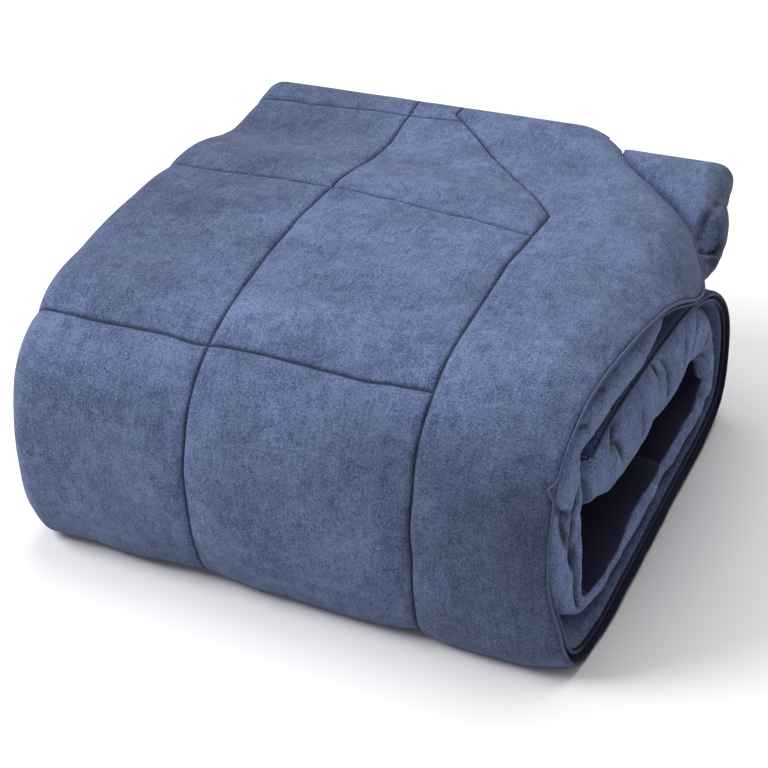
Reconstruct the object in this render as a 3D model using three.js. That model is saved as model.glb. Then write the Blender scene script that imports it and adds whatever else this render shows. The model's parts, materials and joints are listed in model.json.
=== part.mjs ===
// A quilt folded in quarters across its width and then wrapped up along its length.
// Millimetres, Z up. X runs across the fold, Y from the front to the back, and Z = 0 is the surface
// that the quilt lies on.
import * as THREE from 'three';

// Widths across the fold
const leftEnd = -304;
const rightEnd = 300;
const seamOne = -100;
const seamTwo = 140;

// Distances along the fold, from the open end at the top back
const cornerAt = 212;
const diagonalStart = 26;
const diagonalEnd = 224;
const diagonalLeft = -45;
const rows = [40, 268, 540, 790, 1045, 1300, 1545];

// Thicknesses and small shapes
const plyGap = 2.4;
const crownRise = 6.5;
const innerCrown = 8;
const wideSpan = 160;
const borderEven = 0.2;
const rowBow = 15;
const bowWidth = 450;
const seamWave = 2.5;
const waveLength = 95;

// The two open edges at the right end
const edgeTip = 3;
const lowerTip = 2;
const edgeNose = 1.5;
const secondSetBack = 3;
const rimWidth = 52;
const cornerDroop = 28;
const droopFrom = 256;
const droopReach = 54;
const droopSpan = 82;
const bareRise = 24;
const bareFrom = 5;
const bareTo = 20;

// The folds at the left end and inside the right end
const leftRound = 30;
const leftPinch = 5;
const betweenTip = 47;
const secondStart = 14;
const secondHollow = 22;
const reverseStart = 10;
const reverseHollow = 24;
const rightRound = 30;
const rightSquareness = 0.75;
const rightPinch = 4;
const rightHollow = 6;

// The two sewn ends of the quilt
const endTaper = 34;
const endEdge = 0.3;
const slip = 0.3;
const slipReach = 120;
const innerSlip = 0.09;

// Piping
const pipingRadius = 2.4;
const pipingGap = 0.7;
const pipingSides = 6;
const clothColor = 0x6b7a9e;
const pipingColor = 0x5c6a8c;

// The line between the outer pair of plies and the inner pair, with the thickness of each pair. It is
// given at the left and at the right end of the fold, because the quilt lies unevenly.
// The welts are the heights of the two open edges above that line.
const pathColumns = ['leftY', 'leftZ', 'rightY', 'rightZ', 'outer', 'inner', 'upperWelt', 'lowerWelt',
  'openEdge', 'foldedEdge'];
const path = [
  [308, 261, 304, 277, 41, 42, 8, 1.6, 148, 286],
  [215, 240, 212, 270, 40, 46, 10, 3.6, 224, 298],
  [155, 246, 152, 267, 40, 45, 12, 5.4, 272, 296],
  [90, 262, 90, 268, 40, 44, 14, 6, 312, 290],
  [-40, 261, -40, 266, 40, 44, 19, 12, 302, 296],
  [-132, 254, -140, 261, 38, 45, 20, 13, 290, 292],
  [-206, 244, -214, 248, 38, 46, 20, 13, 283, 287],
  [-256, 206, -258, 212, 38, 46, 20, 12, 279, 284],
  [-272, 152, -274, 156, 38, 55, 20, 11, 278, 284],
  [-270, 104, -276, 108, 38, 55, 20, 10, 281, 287],
  [-258, 76, -268, 76, 46, 37, 29, 19, 292, 293],
  [-233, 52, -247, 47, 58, 27, 44, 33, 302, 298],
  [-206, 30, -208, 30, 42, 31, 26, 14, 308, 302],
  [-140, 27, -140, 27, 28, 33, 21, 5, 309, 302],
  [60, 27, 60, 27, 28, 33, 21, 5, 305, 300],
  [180, 28, 180, 28, 28, 34, 21, 5, 303, 299],
  [228, 42, 228, 42, 34, 38, 20, 6, 302, 298],
  [246, 82, 244, 82, 28, 44, 18, 8, 300, 297],
  [238, 126, 234, 126, 24, 54, 16, 8, 299, 296],
  [208, 164, 200, 164, 22, 70, 14, 7, 297, 294],
  [160, 186, 152, 186, 20, 79, 13, 6, 295, 292],
  [90, 194, 86, 194, 20, 85, 13, 6, 290, 292],
  [-60, 195, -60, 196, 20, 87, 13, 6, 286, 290],
  [-120, 187, -124, 190, 20, 80, 13, 6, 283, 287],
  [-166, 170, -170, 174, 18, 82, 12, 5, 279, 283],
].map((row) => Object.fromEntries(pathColumns.map((column, index) => [column, row[index]])));

const { clamp, lerp, smoothstep } = THREE.MathUtils;

function lineThrough(pick) {
  const points = path.map((row) => new THREE.Vector3(0, ...pick(row)));
  const line = new THREE.CatmullRomCurve3(points, false, 'centripetal');
  line.arcLengthDivisions = 2000;
  return line;
}

const leftLine = lineThrough((row) => [row.leftY, row.leftZ]);
const rightLine = lineThrough((row) => [row.rightY, row.rightZ]);
const middleLine = lineThrough((row) => [(row.leftY + row.rightY) / 2, (row.leftZ + row.rightZ) / 2]);
const foldLength = middleLine.getLength();

// The curves' own parameter at a distance along the fold
function parameterAt(distance) {
  return clamp(middleLine.getUtoTmapping(clamp(distance / foldLength, 0, 1)), 0, 1);
}

// A column of the path table at a distance along the fold
function column(name, distance) {
  const last = path.length - 1;
  const place = parameterAt(distance) * last;
  const index = Math.min(Math.floor(place), last - 1);
  const share = place - index;
  const value = (row) => path[clamp(row, 0, last)][name];
  const slopeIn = (value(index + 1) - value(index - 1)) / 2;
  const slopeOut = (value(index + 2) - value(index)) / 2;
  const step = value(index + 1) - value(index);
  return value(index) + share * (slopeIn + share * (3 * step - 2 * slopeIn - slopeOut
    + share * (slopeIn + slopeOut - 2 * step)));
}

// A point at a distance along the fold, at x across it and at a height over the line between the pairs
function foldPoint(distance, x, height) {
  const t = parameterAt(distance);
  const across = (x - leftEnd) / (rightEnd - leftEnd);
  const base = leftLine.getPoint(t).lerp(rightLine.getPoint(t), across);
  const along = leftLine.getTangent(t).lerp(rightLine.getTangent(t), across).normalize();
  const past = distance - clamp(distance, 0, foldLength);
  const y = base.y + height * along.z + past * along.y;
  const z = base.z - height * along.y + past * along.z;
  return new THREE.Vector3(x, y, Math.max(z, 0));
}

// How full a panel is between its two seams: none at a seam, one in the middle
function swell(share) {
  return 1 - Math.abs(2 * share - 1) ** 6;
}

// The same along the fold, between two rows. A narrow panel rises less.
function rowSwell(distance) {
  const borders = [0, ...rows, foldLength];
  const beyond = borders.findIndex((row, index) => index > 0 && row > distance);
  const next = beyond < 0 ? borders.length - 1 : beyond;
  const size = borders[next] - borders[next - 1];
  return swell((distance - borders[next - 1]) / size) * Math.min(1, size / wideSpan);
}

// The long seams wander a little
function firstSeam(distance) {
  return seamOne + seamWave * Math.sin(distance / waveLength);
}

// The seam beside the border, which turns on the diagonal near the cut corner
function borderSeam(distance) {
  const share = clamp((distance - diagonalStart) / (diagonalEnd - diagonalStart), 0, 1);
  return lerp(diagonalLeft, seamTwo, share) + seamWave * Math.sin(distance / waveLength);
}

// The cut corner hangs down over the rounded fold
function droop(x, distance) {
  const share = Math.max((x - droopFrom) / droopReach, 0);
  return cornerDroop * share ** 2 * Math.exp(-(((distance - cornerAt) / droopSpan) ** 2));
}

// Plies thin out to their sewn edge at the two ends of the quilt
function endThickness(distance) {
  const toEnd = Math.max(Math.min(distance, foldLength - distance), 0);
  return endEdge + (1 - endEdge) * Math.sqrt(Math.min(toEnd / endTaper, 1));
}

// A round end between two heights, reaching out along X, without its two end points.
// A power of one is half an ellipse, and less than one is squarer.
function roundEnd(x, from, to, reach, steps, power = 1) {
  const bulge = (value) => Math.sign(value) * Math.abs(value) ** power;
  return Array.from({ length: steps - 1 }, (_, index) => {
    const angle = (Math.PI * (index + 1)) / steps;
    const height = (from + to) / 2 + ((from - to) / 2) * bulge(Math.cos(angle));
    return [x + reach * bulge(Math.sin(angle)), height];
  });
}

// The heights of the faces of the four plies, as functions of x, at a distance along the fold.
// The first two plies are the outer pair and the other two are the inner pair.
function outline(distance) {
  const outer = column('outer', distance);
  const inner = column('inner', distance);
  const upperWelt = column('upperWelt', distance);
  const lowerWelt = column('lowerWelt', distance);
  const edge = column('openEdge', distance);
  const full = rowSwell(distance);
  const thin = endThickness(distance);
  const left = leftEnd + leftRound;
  const seams = [left, firstSeam(distance), borderSeam(distance), edge];
  const panelAt = (x) => Math.max(seams.findIndex((seam) => seam >= x - 1e-6), 1);
  const shareAt = (x, panel) => (x - seams[panel - 1]) / (seams[panel] - seams[panel - 1]);

  // The border is as full at a row as between the rows, and the left panel goes on round the fold
  const borderFull = Math.min(lerp(1, full, borderEven), (thin - endEdge) / (1 - endEdge));
  const crossShare = [
    (share) => 0.5 + Math.max(share, 0) / 2,
    (share) => share,
    (share) => Math.min(share, 0.5),
  ];
  const crowned = (x) => {
    const panel = panelAt(x);
    const across = swell(crossShare[panel - 1](shareAt(x, panel)));
    const along = panel === 3 ? borderFull : full;
    const narrow = Math.min(1, (seams[panel] - seams[panel - 1]) / wideSpan);
    return outer - crownRise * (1 - across * along * narrow);
  };

  const between = (outer - crownRise) / 2;
  const rim = (x) => clamp((x - edge + rimWidth) / rimWidth, 0, 1) ** 2;
  const hanging = (height, atEdge) => (x) => lerp(height(x), atEdge, rim(x)) - droop(x, distance);
  const firstFace = hanging(crowned, upperWelt + edgeTip);
  const firstReverse = hanging(() => between + plyGap / 2, upperWelt - edgeTip);
  const secondReverse = hanging(() => between - plyGap / 2, lowerWelt + lowerTip);
  const secondFace = hanging(() => plyGap / 2, lowerWelt - lowerTip);

  // Where the cut corner leaves the rounded fold bare, it swells up beside the edge
  const bare = (x) => bareRise * smoothstep(x, edge + bareFrom, edge + bareTo);
  const thirdFace = (x) => secondFace(Math.min(x, edge)) - plyGap + bare(x);
  const thirdReverse = () => (plyGap - inner) / 2;
  const fourthReverse = () => (-plyGap - inner) / 2;
  const fourthFace = (x) => {
    const share = clamp(shareAt(x, panelAt(x)), 0.2, 0.8);
    return innerCrown * (1 - swell(share) * full) - inner;
  };

  // Each ply thins out toward the ends of the quilt, about its own middle
  const ply = (over, under) => {
    const centre = (x) => (over(x) + under(x)) / 2;
    const half = (x) => ((over(x) - under(x)) / 2) * thin;
    return { centre, over: (x) => centre(x) + half(x), under: (x) => centre(x) - half(x) };
  };
  const plies = {
    first: ply(firstFace, firstReverse),
    second: ply(secondReverse, secondFace),
    third: ply(thirdFace, thirdReverse),
    fourth: ply(fourthReverse, fourthFace),
  };
  const rightX = column('foldedEdge', distance) - rightPinch * (1 - full) - rightRound;
  return { plies, seams, edge, left, full, inner, rightX };
}

// One closed ring of points round the folded section
function ring(distance) {
  const { plies, seams, edge, left, full, inner, rightX } = outline(distance);
  const { first, second, third, fourth } = plies;
  const [, one, two] = seams;
  const between = (from, to, shares) => shares.map((share) => lerp(from, to, share));
  const along = (height, places) => places.map((x) => [x, height(x)]);

  const faceX = [
    ...between(edge, two, [0.015, 0.05, 0.13, 0.28, 0.55, 0.8, 0.93]), two,
    ...between(two, one, [0.06, 0.2, 0.5, 0.8, 0.94]), one,
    ...between(one, left, [0.06, 0.22, 0.55, 1]),
  ];
  const lowX = [
    left, lerp(left, one, 0.5), one,
    ...between(one, two, [0.2, 0.5, 0.8]), two,
    ...between(two, rightX, [0.3, 0.65, 1]),
  ];
  const bareX = Math.min(edge + 24, rightX - 9);
  const underX = Math.min(edge + 5, bareX - 8);
  const tipX = leftEnd + betweenTip;
  const secondEdge = edge - secondSetBack;
  const secondX = left + secondStart;
  const reverseX = left + reverseStart;
  const insideX = rightX - rightHollow;
  const leftReach = leftEnd + leftPinch * (1 - full) - left;

  const outline2d = [
    // The face of the outer layer, round the left end and on to the fold at the right end
    ...along(first.over, faceX),
    ...roundEnd(left, first.over(left), fourth.under(left), leftReach, 7),
    ...along(fourth.under, lowX),
    ...roundEnd(rightX, fourth.under(rightX), third.over(rightX), rightRound, 8, rightSquareness),
    ...along(third.over, [rightX, bareX, underX, underX - 22, underX - 60]),

    // The fold between the pairs, and the second ply out to its open edge and back
    [tipX + 4, third.over(tipX)], [tipX, 0], [tipX + 4, second.under(tipX)],
    ...along(second.under, [secondEdge - 78, secondEdge - 38, secondEdge - 14, secondEdge]),
    ...along(second.over, [secondEdge, secondEdge - 20, secondEdge - 50, secondX]),

    // The reverse of the inner layer, round to the inside of the rounded fold
    ...roundEnd(secondX, second.over(secondX), third.under(secondX), -secondHollow, 4),
    ...along(third.under, [secondX, underX, bareX, insideX]),
    [rightX, -inner / 2],
    ...along(fourth.over, [insideX, reverseX]),

    // The reverse of the outer layer, back to its open edge
    ...roundEnd(reverseX, fourth.over(reverseX), first.under(reverseX), -reverseHollow, 5),
    ...along(first.under, [reverseX, edge - 60, edge - 26, edge]),
    [edge + edgeNose, column('upperWelt', distance) - droop(edge, distance)],
  ];
  return outline2d.map(([x, height]) => place(distance, x, height));
}

// The rows on top bow a little across the quilt, and the plies slip on each other at its two ends
function place(distance, x, height) {
  const bowing = smoothstep(distance, 0, 90) * (1 - smoothstep(distance, 300, 480));
  const bow = rowBow * bowing * Math.sin((Math.PI * (x - leftEnd)) / bowWidth);
  const startSlip = slip * (1 - smoothstep(distance, 0, slipReach));
  const endSlip = innerSlip * smoothstep(distance, foldLength - slipReach, foldLength);
  return foldPoint(distance - bow - (startSlip + endSlip) * height, x, height);
}

// Distances of the rings: closer where the path turns, and close beside each row of quilting
const rowSide = 14;
const ringSpacing = 62;
const ringTurn = 0.42;

function tangentAt(distance) {
  return middleLine.getTangent(parameterAt(distance));
}

function ringDistances() {
  const stops = [
    0, 7, 18, 72, 110, 126, 142, 158, 172, 186, cornerAt, 232,
    ...rows.flatMap((row) => [row - rowSide, row, row + rowSide]),
    foldLength - 30, foldLength - 16, foldLength - 6, foldLength,
  ].sort((a, b) => a - b);
  const distances = stops.slice(1).flatMap((to, index) => {
    const from = stops[index];
    const turn = tangentAt(from).angleTo(tangentAt(to));
    const steps = Math.max(1, Math.round((to - from) / ringSpacing + turn / ringTurn));
    return Array.from({ length: steps }, (_, step) => lerp(from, to, step / steps));
  });
  return [...distances, foldLength];
}

// The triangles that close a ribbon-shaped end, taken in turn along its two long sides
function endTriangles(points) {
  const triangles = [];
  let near = 0;
  let far = points.length - 1;
  while (far - near > 1) {
    const stepNear = points[near + 1].distanceTo(points[far]) < points[near].distanceTo(points[far - 1]);
    triangles.push([near, stepNear ? near + 1 : far - 1, far]);
    near += stepNear ? 1 : 0;
    far -= stepNear ? 0 : 1;
  }
  return triangles;
}

// A closed body from rings of points
function bodyMesh(name, rings, color) {
  const count = rings[0].length;
  const positions = rings.flat().flatMap((point) => [point.x, point.y, point.z]);
  const faces = [];
  for (let index = 0; index < rings.length - 1; index += 1) {
    for (let side = 0; side < count; side += 1) {
      const a = index * count + side;
      const b = index * count + ((side + 1) % count);
      faces.push(a, b, a + count, b, b + count, a + count);
    }
  }
  const last = (rings.length - 1) * count;
  for (const [a, b, c] of endTriangles(rings[0])) {
    faces.push(a, c, b);
  }
  for (const [a, b, c] of endTriangles(rings.at(-1))) {
    faces.push(last + a, last + b, last + c);
  }
  const geometry = new THREE.BufferGeometry();
  geometry.setAttribute('position', new THREE.Float32BufferAttribute(positions, 3));
  geometry.setIndex(faces);
  geometry.computeVertexNormals();
  const material = new THREE.MeshStandardMaterial({ color, roughness: 0.95, metalness: 0 });
  const mesh = new THREE.Mesh(geometry, material);
  mesh.name = name;
  return mesh;
}

function quiltedBody() {
  return bodyMesh('quilted_body', ringDistances().map(ring), clothColor);
}

// A thin piping: a many-sided tube round a list of centres, each with its two cross directions
function piping(name, centres) {
  const angles = Array.from({ length: pipingSides }, (_, side) => (2 * Math.PI * side) / pipingSides);
  const flat = angles.map((angle) => new THREE.Vector2(Math.cos(angle), Math.sin(angle)));
  const rings = centres.map(({ centre, across, up }) => flat.map((corner) => centre.clone()
    .addScaledVector(across, pipingRadius * corner.x).addScaledVector(up, pipingRadius * corner.y)));
  return bodyMesh(name, rings, pipingColor);
}

// The direction away from the line between the pairs
function upAt(distance, x, height) {
  return place(distance, x, height + 1).sub(place(distance, x, height)).normalize();
}

// Along one of the two open edges at the right end
function edgePiping(name, welt, setBack) {
  const centres = ringDistances().slice(1, -1).map((distance) => {
    const x = column('openEdge', distance) - setBack + edgeNose + pipingGap + pipingRadius;
    const height = column(welt, distance) - droop(x, distance);
    const centre = place(distance, x, height);
    centre.z = Math.max(centre.z, pipingRadius + pipingGap);
    return { centre, across: new THREE.Vector3(1, 0, 0), up: upAt(distance, x, height) };
  });
  return piping(name, centres);
}

// Across the plies at one end of the quilt, following its folds
const endGap = 3.2;
const endInset = 3;
const middleReach = { outerFold: 26, rightFold: 15, innerFold: 12 };

function endPiping(name, distance, outward) {
  const { plies, edge, left, rightX } = outline(distance);
  const [first, second, third, fourth] = Object.values(plies).map((ply) => ply.centre);
  const secondX = left + secondStart;
  const arcX = rightX + rightHollow;
  const along = (from, to, steps, height) => Array.from({ length: steps + 1 }, (_, step) => {
    const x = lerp(from, to, step / steps);
    return [x, height(x)];
  });
  const route = [
    ...along(edge - endInset, left, 7, first),
    ...roundEnd(left, first(left), fourth(left), -middleReach.outerFold, 7),
    ...along(left, arcX, 5, fourth),
    ...roundEnd(arcX, fourth(arcX), third(arcX), middleReach.rightFold, 6),
    ...along(arcX, secondX, 6, third),
    ...roundEnd(secondX, third(secondX), second(secondX), -middleReach.innerFold, 5),
    ...along(secondX, edge - endInset - secondSetBack, 6, second),
  ];
  const centres = route.map(([x, height], index) => {
    const [beforeX, beforeHeight] = route[Math.max(index - 1, 0)];
    const [afterX, afterHeight] = route[Math.min(index + 1, route.length - 1)];
    const flat = new THREE.Vector2(beforeHeight - afterHeight, afterX - beforeX).normalize();
    const centre = place(distance + outward * endGap, x, height);
    const over = upAt(distance + outward * endGap, x, height);
    const across = new THREE.Vector3(flat.x, over.y * flat.y, over.z * flat.y).normalize();
    return { centre, across, up: new THREE.Vector3(1, 0, 0).cross(over).normalize() };
  });
  return piping(name, centres);
}

const quilt = new THREE.Group();
quilt.add(quiltedBody());
quilt.add(edgePiping('edge_piping_upper', 'upperWelt', 0));
quilt.add(edgePiping('edge_piping_lower', 'lowerWelt', secondSetBack));
quilt.add(endPiping('end_piping_outer', 0, -1));
quilt.add(endPiping('end_piping_inner', foldLength, 1));

// The origin is on the surface below, under the middle of the quilt
const box = new THREE.Box3().setFromObject(quilt);
const middle = box.getCenter(new THREE.Vector3());
for (const mesh of quilt.children) {
  mesh.geometry.translate(-middle.x, -middle.y, -box.min.z);
}

export default quilt;
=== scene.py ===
# %% [markdown]
# # A folded quilt
#
# The real thing is one big padded sheet: a brushed blue face, a navy reverse and filling between them, sewn
# through in squares. It is folded in quarters across its width and then wrapped up along its length.
#
# So the whole form follows one rule. A section across the fold shows the four plies lying on each other, and
# that section is carried along a path that wraps round on itself. This script draws the section as a ring of
# points, places it along the path, and then adds what a needle and soft filling do: sunken seams, puckers,
# piped edges and stitches.

import json
import math

import bpy
import numpy as np
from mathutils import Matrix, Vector

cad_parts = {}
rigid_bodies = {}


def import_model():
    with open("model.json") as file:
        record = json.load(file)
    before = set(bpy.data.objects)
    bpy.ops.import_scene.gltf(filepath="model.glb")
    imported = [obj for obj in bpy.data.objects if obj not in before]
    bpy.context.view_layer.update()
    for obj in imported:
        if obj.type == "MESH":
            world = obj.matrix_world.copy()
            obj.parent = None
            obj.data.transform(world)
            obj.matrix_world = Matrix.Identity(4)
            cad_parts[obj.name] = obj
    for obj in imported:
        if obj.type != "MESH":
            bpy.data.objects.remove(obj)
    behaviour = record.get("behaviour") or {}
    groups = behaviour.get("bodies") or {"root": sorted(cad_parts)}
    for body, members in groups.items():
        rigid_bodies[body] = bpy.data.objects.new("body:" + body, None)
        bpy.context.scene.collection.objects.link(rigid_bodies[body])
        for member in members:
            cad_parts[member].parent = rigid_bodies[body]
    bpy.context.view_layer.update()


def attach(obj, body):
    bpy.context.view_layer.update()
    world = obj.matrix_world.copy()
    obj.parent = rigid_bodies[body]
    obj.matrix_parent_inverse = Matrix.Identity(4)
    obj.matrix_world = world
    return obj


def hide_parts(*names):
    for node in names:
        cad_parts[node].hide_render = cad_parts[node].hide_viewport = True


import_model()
MM = 0.001

# %% [markdown]
# ## The path
#
# The path is the line between the outer pair of plies and the inner pair, seen from the right end. A short
# table is enough, a row for each turn: the line's place at the left end and at the right end, how thick the
# two pairs are, where their two sewn edges lie, and how far the open edge and the rounded fold reach.
#
# A smooth curve goes through the rows. A centripetal Catmull-Rom curve is used because it passes through its
# points and doesn't overshoot where they are unevenly spaced.

# %% The path's table, in millimetres
COLUMNS = ["left_y", "left_z", "right_y", "right_z", "outer", "inner", "upper_welt", "lower_welt",
           "open_edge", "folded_edge"]
PATH = [
    [308, 261, 304, 277, 41, 42, 8, 1.6, 148, 286],
    [215, 240, 212, 270, 40, 46, 10, 3.6, 224, 298],
    [155, 246, 152, 267, 40, 45, 12, 5.4, 272, 296],
    [90, 262, 90, 268, 40, 44, 14, 6, 312, 290],
    [-40, 261, -40, 266, 40, 44, 19, 12, 302, 296],
    [-132, 254, -140, 261, 38, 45, 20, 13, 290, 292],
    [-206, 244, -214, 248, 38, 46, 20, 13, 283, 287],
    [-256, 206, -258, 212, 38, 46, 20, 12, 279, 284],
    [-272, 152, -274, 156, 38, 55, 20, 11, 278, 284],
    [-270, 104, -276, 108, 38, 55, 20, 10, 281, 287],
    [-258, 76, -268, 76, 46, 37, 29, 19, 292, 293],
    [-233, 52, -247, 47, 58, 27, 44, 33, 302, 298],
    [-206, 30, -208, 30, 42, 31, 26, 14, 308, 302],
    [-140, 27, -140, 27, 28, 33, 21, 5, 309, 302],
    [60, 27, 60, 27, 28, 33, 21, 5, 305, 300],
    [180, 28, 180, 28, 28, 34, 21, 5, 303, 299],
    [228, 42, 228, 42, 34, 38, 20, 6, 302, 298],
    [246, 82, 244, 82, 28, 44, 18, 8, 300, 297],
    [238, 126, 234, 126, 24, 54, 16, 8, 299, 296],
    [208, 164, 200, 164, 22, 70, 14, 7, 297, 294],
    [160, 186, 152, 186, 20, 79, 13, 6, 295, 292],
    [90, 194, 86, 194, 20, 85, 13, 6, 290, 292],
    [-60, 195, -60, 196, 20, 87, 13, 6, 286, 290],
    [-120, 187, -124, 190, 20, 80, 13, 6, 283, 287],
    [-166, 170, -170, 174, 18, 82, 12, 5, 279, 283],
]
TABLE = {name: np.array([row[i] for row in PATH], float) for i, name in enumerate(COLUMNS)}
print("rows in the path's table:", len(PATH))


# %% Soft steps and stretches
def smoothstep(x, low, high):
    """Nought below low, one above high and a soft step between them."""
    t = np.clip((x - low) / (high - low), 0, 1)
    return t * t * (3 - 2 * t)


def lerp(a, b, t):
    return a + (b - a) * t


def on_stretch(distance, begins, full, fades, ends):
    """One on a stretch of the path and nought elsewhere, with soft ends."""
    return smoothstep(distance, begins, full) * (1 - smoothstep(distance, fades, ends))


def bell(distance, centre, span):
    """One at a place, fading away on both sides of it."""
    return np.exp(-(((distance - centre) / span) ** 2))


print("a soft step from 0 to 10, at 0, 3 and 10:", smoothstep(np.array([0, 3, 10]), 0, 10).tolist())


# %% A smooth curve through the rows
SMALLEST_GAP = 1e-4


class Curve:
    """A centripetal Catmull-Rom curve in the plane of y and z, with a parameter from 0 to 1."""

    def __init__(self, points):
        points = np.asarray(points, float)
        first = 2 * points[0] - points[1]
        last = 2 * points[-1] - points[-2]
        self.points = np.vstack([first, points, last])
        self.spans = len(points) - 1

    def at(self, t):
        place = np.clip(np.asarray(t, float), 0, 1) * self.spans
        index = np.minimum(place.astype(int), self.spans - 1)
        share = (place - index)[..., None]
        p0, p1, p2, p3 = (self.points[index + k] for k in range(4))
        # The pace goes with the square root of each gap, which is the fourth root of its square
        d0, d1, d2 = (np.maximum(np.sum((b - a) ** 2, -1, keepdims=True) ** 0.25, SMALLEST_GAP)
                      for a, b in ((p0, p1), (p1, p2), (p2, p3)))
        slope1 = ((p1 - p0) / d0 - (p2 - p0) / (d0 + d1) + (p2 - p1) / d1) * d1
        slope2 = ((p2 - p1) / d1 - (p3 - p1) / (d1 + d2) + (p3 - p2) / d2) * d1
        c2 = 3 * (p2 - p1) - 2 * slope1 - slope2
        c3 = 2 * (p1 - p2) + slope1 + slope2
        return p1 + share * (slope1 + share * (c2 + share * c3))

    def direction(self, t):
        step = 1e-4
        ahead = self.at(np.clip(np.asarray(t) + step, 0, 1))
        behind = self.at(np.clip(np.asarray(t) - step, 0, 1))
        along = ahead - behind
        return along / np.linalg.norm(along, axis=-1, keepdims=True)


LEFT_POINTS = np.stack([TABLE["left_y"], TABLE["left_z"]], -1)
RIGHT_POINTS = np.stack([TABLE["right_y"], TABLE["right_z"]], -1)
LEFT_LINE, RIGHT_LINE = Curve(LEFT_POINTS), Curve(RIGHT_POINTS)
MIDDLE_LINE = Curve(0.5 * (LEFT_POINTS + RIGHT_POINTS))
print("spans in each line:", MIDDLE_LINE.spans)

# %% Distances along the path
WALK_STEPS = 2000
STEPS = np.linspace(0, 1, WALK_STEPS + 1)
PACES = np.linalg.norm(np.diff(MIDDLE_LINE.at(STEPS), axis=0), axis=1)
WALK = np.concatenate([[0], np.cumsum(PACES)])
LENGTH = WALK[-1]
print("length of the path, millimetres:", round(LENGTH, 1))


def parameter(distance):
    return np.interp(distance, WALK, STEPS)


def column(name, distance):
    """A column of the table at a distance along the path, as a smooth curve through its rows."""
    values = TABLE[name]
    last = len(values) - 1
    place = parameter(distance) * last
    index = np.minimum(place.astype(int), last - 1)
    share = place - index
    before, here, after, beyond = (values[np.clip(index + k, 0, last)] for k in (-1, 0, 1, 2))
    slope_in, slope_out, step = (after - before) / 2, (beyond - here) / 2, after - here
    return here + share * (slope_in + share * (3 * step - 2 * slope_in - slope_out
                                               + share * (slope_in + slope_out - 2 * step)))


print("open edge at the start of the path, millimetres:", float(column("open_edge", 0.0)))

# %% [markdown]
# ## Where the seams run
#
# Rows of quilting cross the fold, and two long seams run along it. The second long seam is the border's: near
# the quilt's corner, which is cut off, it turns and follows the cut on the diagonal. The rows stop at it.

# %% Widths, seams and rows, in millimetres
LEFT_END, RIGHT_END = -304, 300
SEAM_ONE, SEAM_TWO = -100, 140
DIAGONAL_START, DIAGONAL_END, DIAGONAL_LEFT = 26, 224, -45
ROWS = [40, 268, 540, 790, 1045, 1300, 1545]
ROW_BORDERS = np.array([0, *ROWS, LENGTH])
print("squares along the quilt, millimetres:", np.diff(ROW_BORDERS).round().astype(int).tolist())


# %% Unevenness from fixed seeds
NOISE_SIZE = 97


def noise(u, v, seed):
    """Smooth values between -1 and 1 over the plane."""
    u, v = np.broadcast_arrays(np.asarray(u, float), np.asarray(v, float))
    grid = np.random.default_rng(seed).uniform(-1, 1, (NOISE_SIZE, NOISE_SIZE))
    i, j = np.floor(u).astype(int), np.floor(v).astype(int)
    s, t = u - i, v - j
    s, t = s * s * (3 - 2 * s), t * t * (3 - 2 * t)

    def corner(a, b):
        return grid[(i + a) % NOISE_SIZE, (j + b) % NOISE_SIZE]

    return lerp(lerp(corner(0, 0), corner(1, 0), s), lerp(corner(0, 1), corner(1, 1), s), t)


print("noise at one place:", round(float(noise(0.5, 0.5, seed=1)), 3))


# %% The two long seams
SEAM_WAVE, WAVE_LENGTH, SEAM_WOBBLE, WOBBLE_LENGTH = 2.5, 95, 1.8, 34
CREST, CREST_MORE, CREST_AT, CREST_SPAN = 3, 6, 520, 60
CREST_FROM, CREST_TO = 300, 440
BORDER_SHIFT, SHIFT_FROM, SHIFT_TO = 5, 300, 480


def seam_wander(distance, seed):
    """A long seam drifts slowly and shifts a little wherever the needle met resistance."""
    wobble = noise(distance / WOBBLE_LENGTH, 0.5, seed)
    return SEAM_WAVE * np.sin(distance / WAVE_LENGTH) + SEAM_WOBBLE * wobble


def first_seam(distance):
    crest = CREST + CREST_MORE * bell(distance, CREST_AT, CREST_SPAN)
    return SEAM_ONE + seam_wander(distance, seed=51) + crest * smoothstep(distance, CREST_FROM, CREST_TO)


def border_seam(distance):
    share = np.clip((distance - DIAGONAL_START) / (DIAGONAL_END - DIAGONAL_START), 0, 1)
    shift = BORDER_SHIFT * smoothstep(distance, SHIFT_FROM, SHIFT_TO)
    return lerp(DIAGONAL_LEFT, SEAM_TWO, share) + seam_wander(distance, seed=52) + shift


seams_in_front = [round(float(seam(600.0))) for seam in (first_seam, border_seam)]
print("long seams on the front, millimetres:", seams_in_front)


# %% How full the squares are
WIDE_SPAN, SWELL_POWER = 160, 6


def swell(share):
    """How full a panel is between its two seams: none at a seam, and nearly even in the middle."""
    return 1 - np.abs(2 * share - 1) ** SWELL_POWER


def row_swell(distance):
    after = np.clip(np.searchsorted(ROW_BORDERS, distance, side="right"), 1, len(ROW_BORDERS) - 1)
    size = ROW_BORDERS[after] - ROW_BORDERS[after - 1]
    return swell((distance - ROW_BORDERS[after - 1]) / size) * np.minimum(1, size / WIDE_SPAN)


def nearest_row(distance):
    rows = np.array(ROWS)
    return rows[np.argmin(np.abs(distance[..., None] - rows), -1)]


print("fullness a tenth of the way across a panel:", round(swell(0.1), 3))


# %% [markdown]
# ## Filling under the face
#
# Filling pushes the cloth up between the stitches, and the stitches hold it down. The face is let out a
# little against the filling, so it puckers beside every seam. That is hard to draw and easy to simulate: one
# flat sheet with the seams pinned, slightly too large for its frame, with air pressure under it.
#
# The sheet lies flat for this. Its columns follow the panels, so that whole columns of points lie on the long
# seams, and its rows include the rows of quilting. The sheet goes on past the left end, because the panel
# there turns round the fold and on to the next seam.

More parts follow.
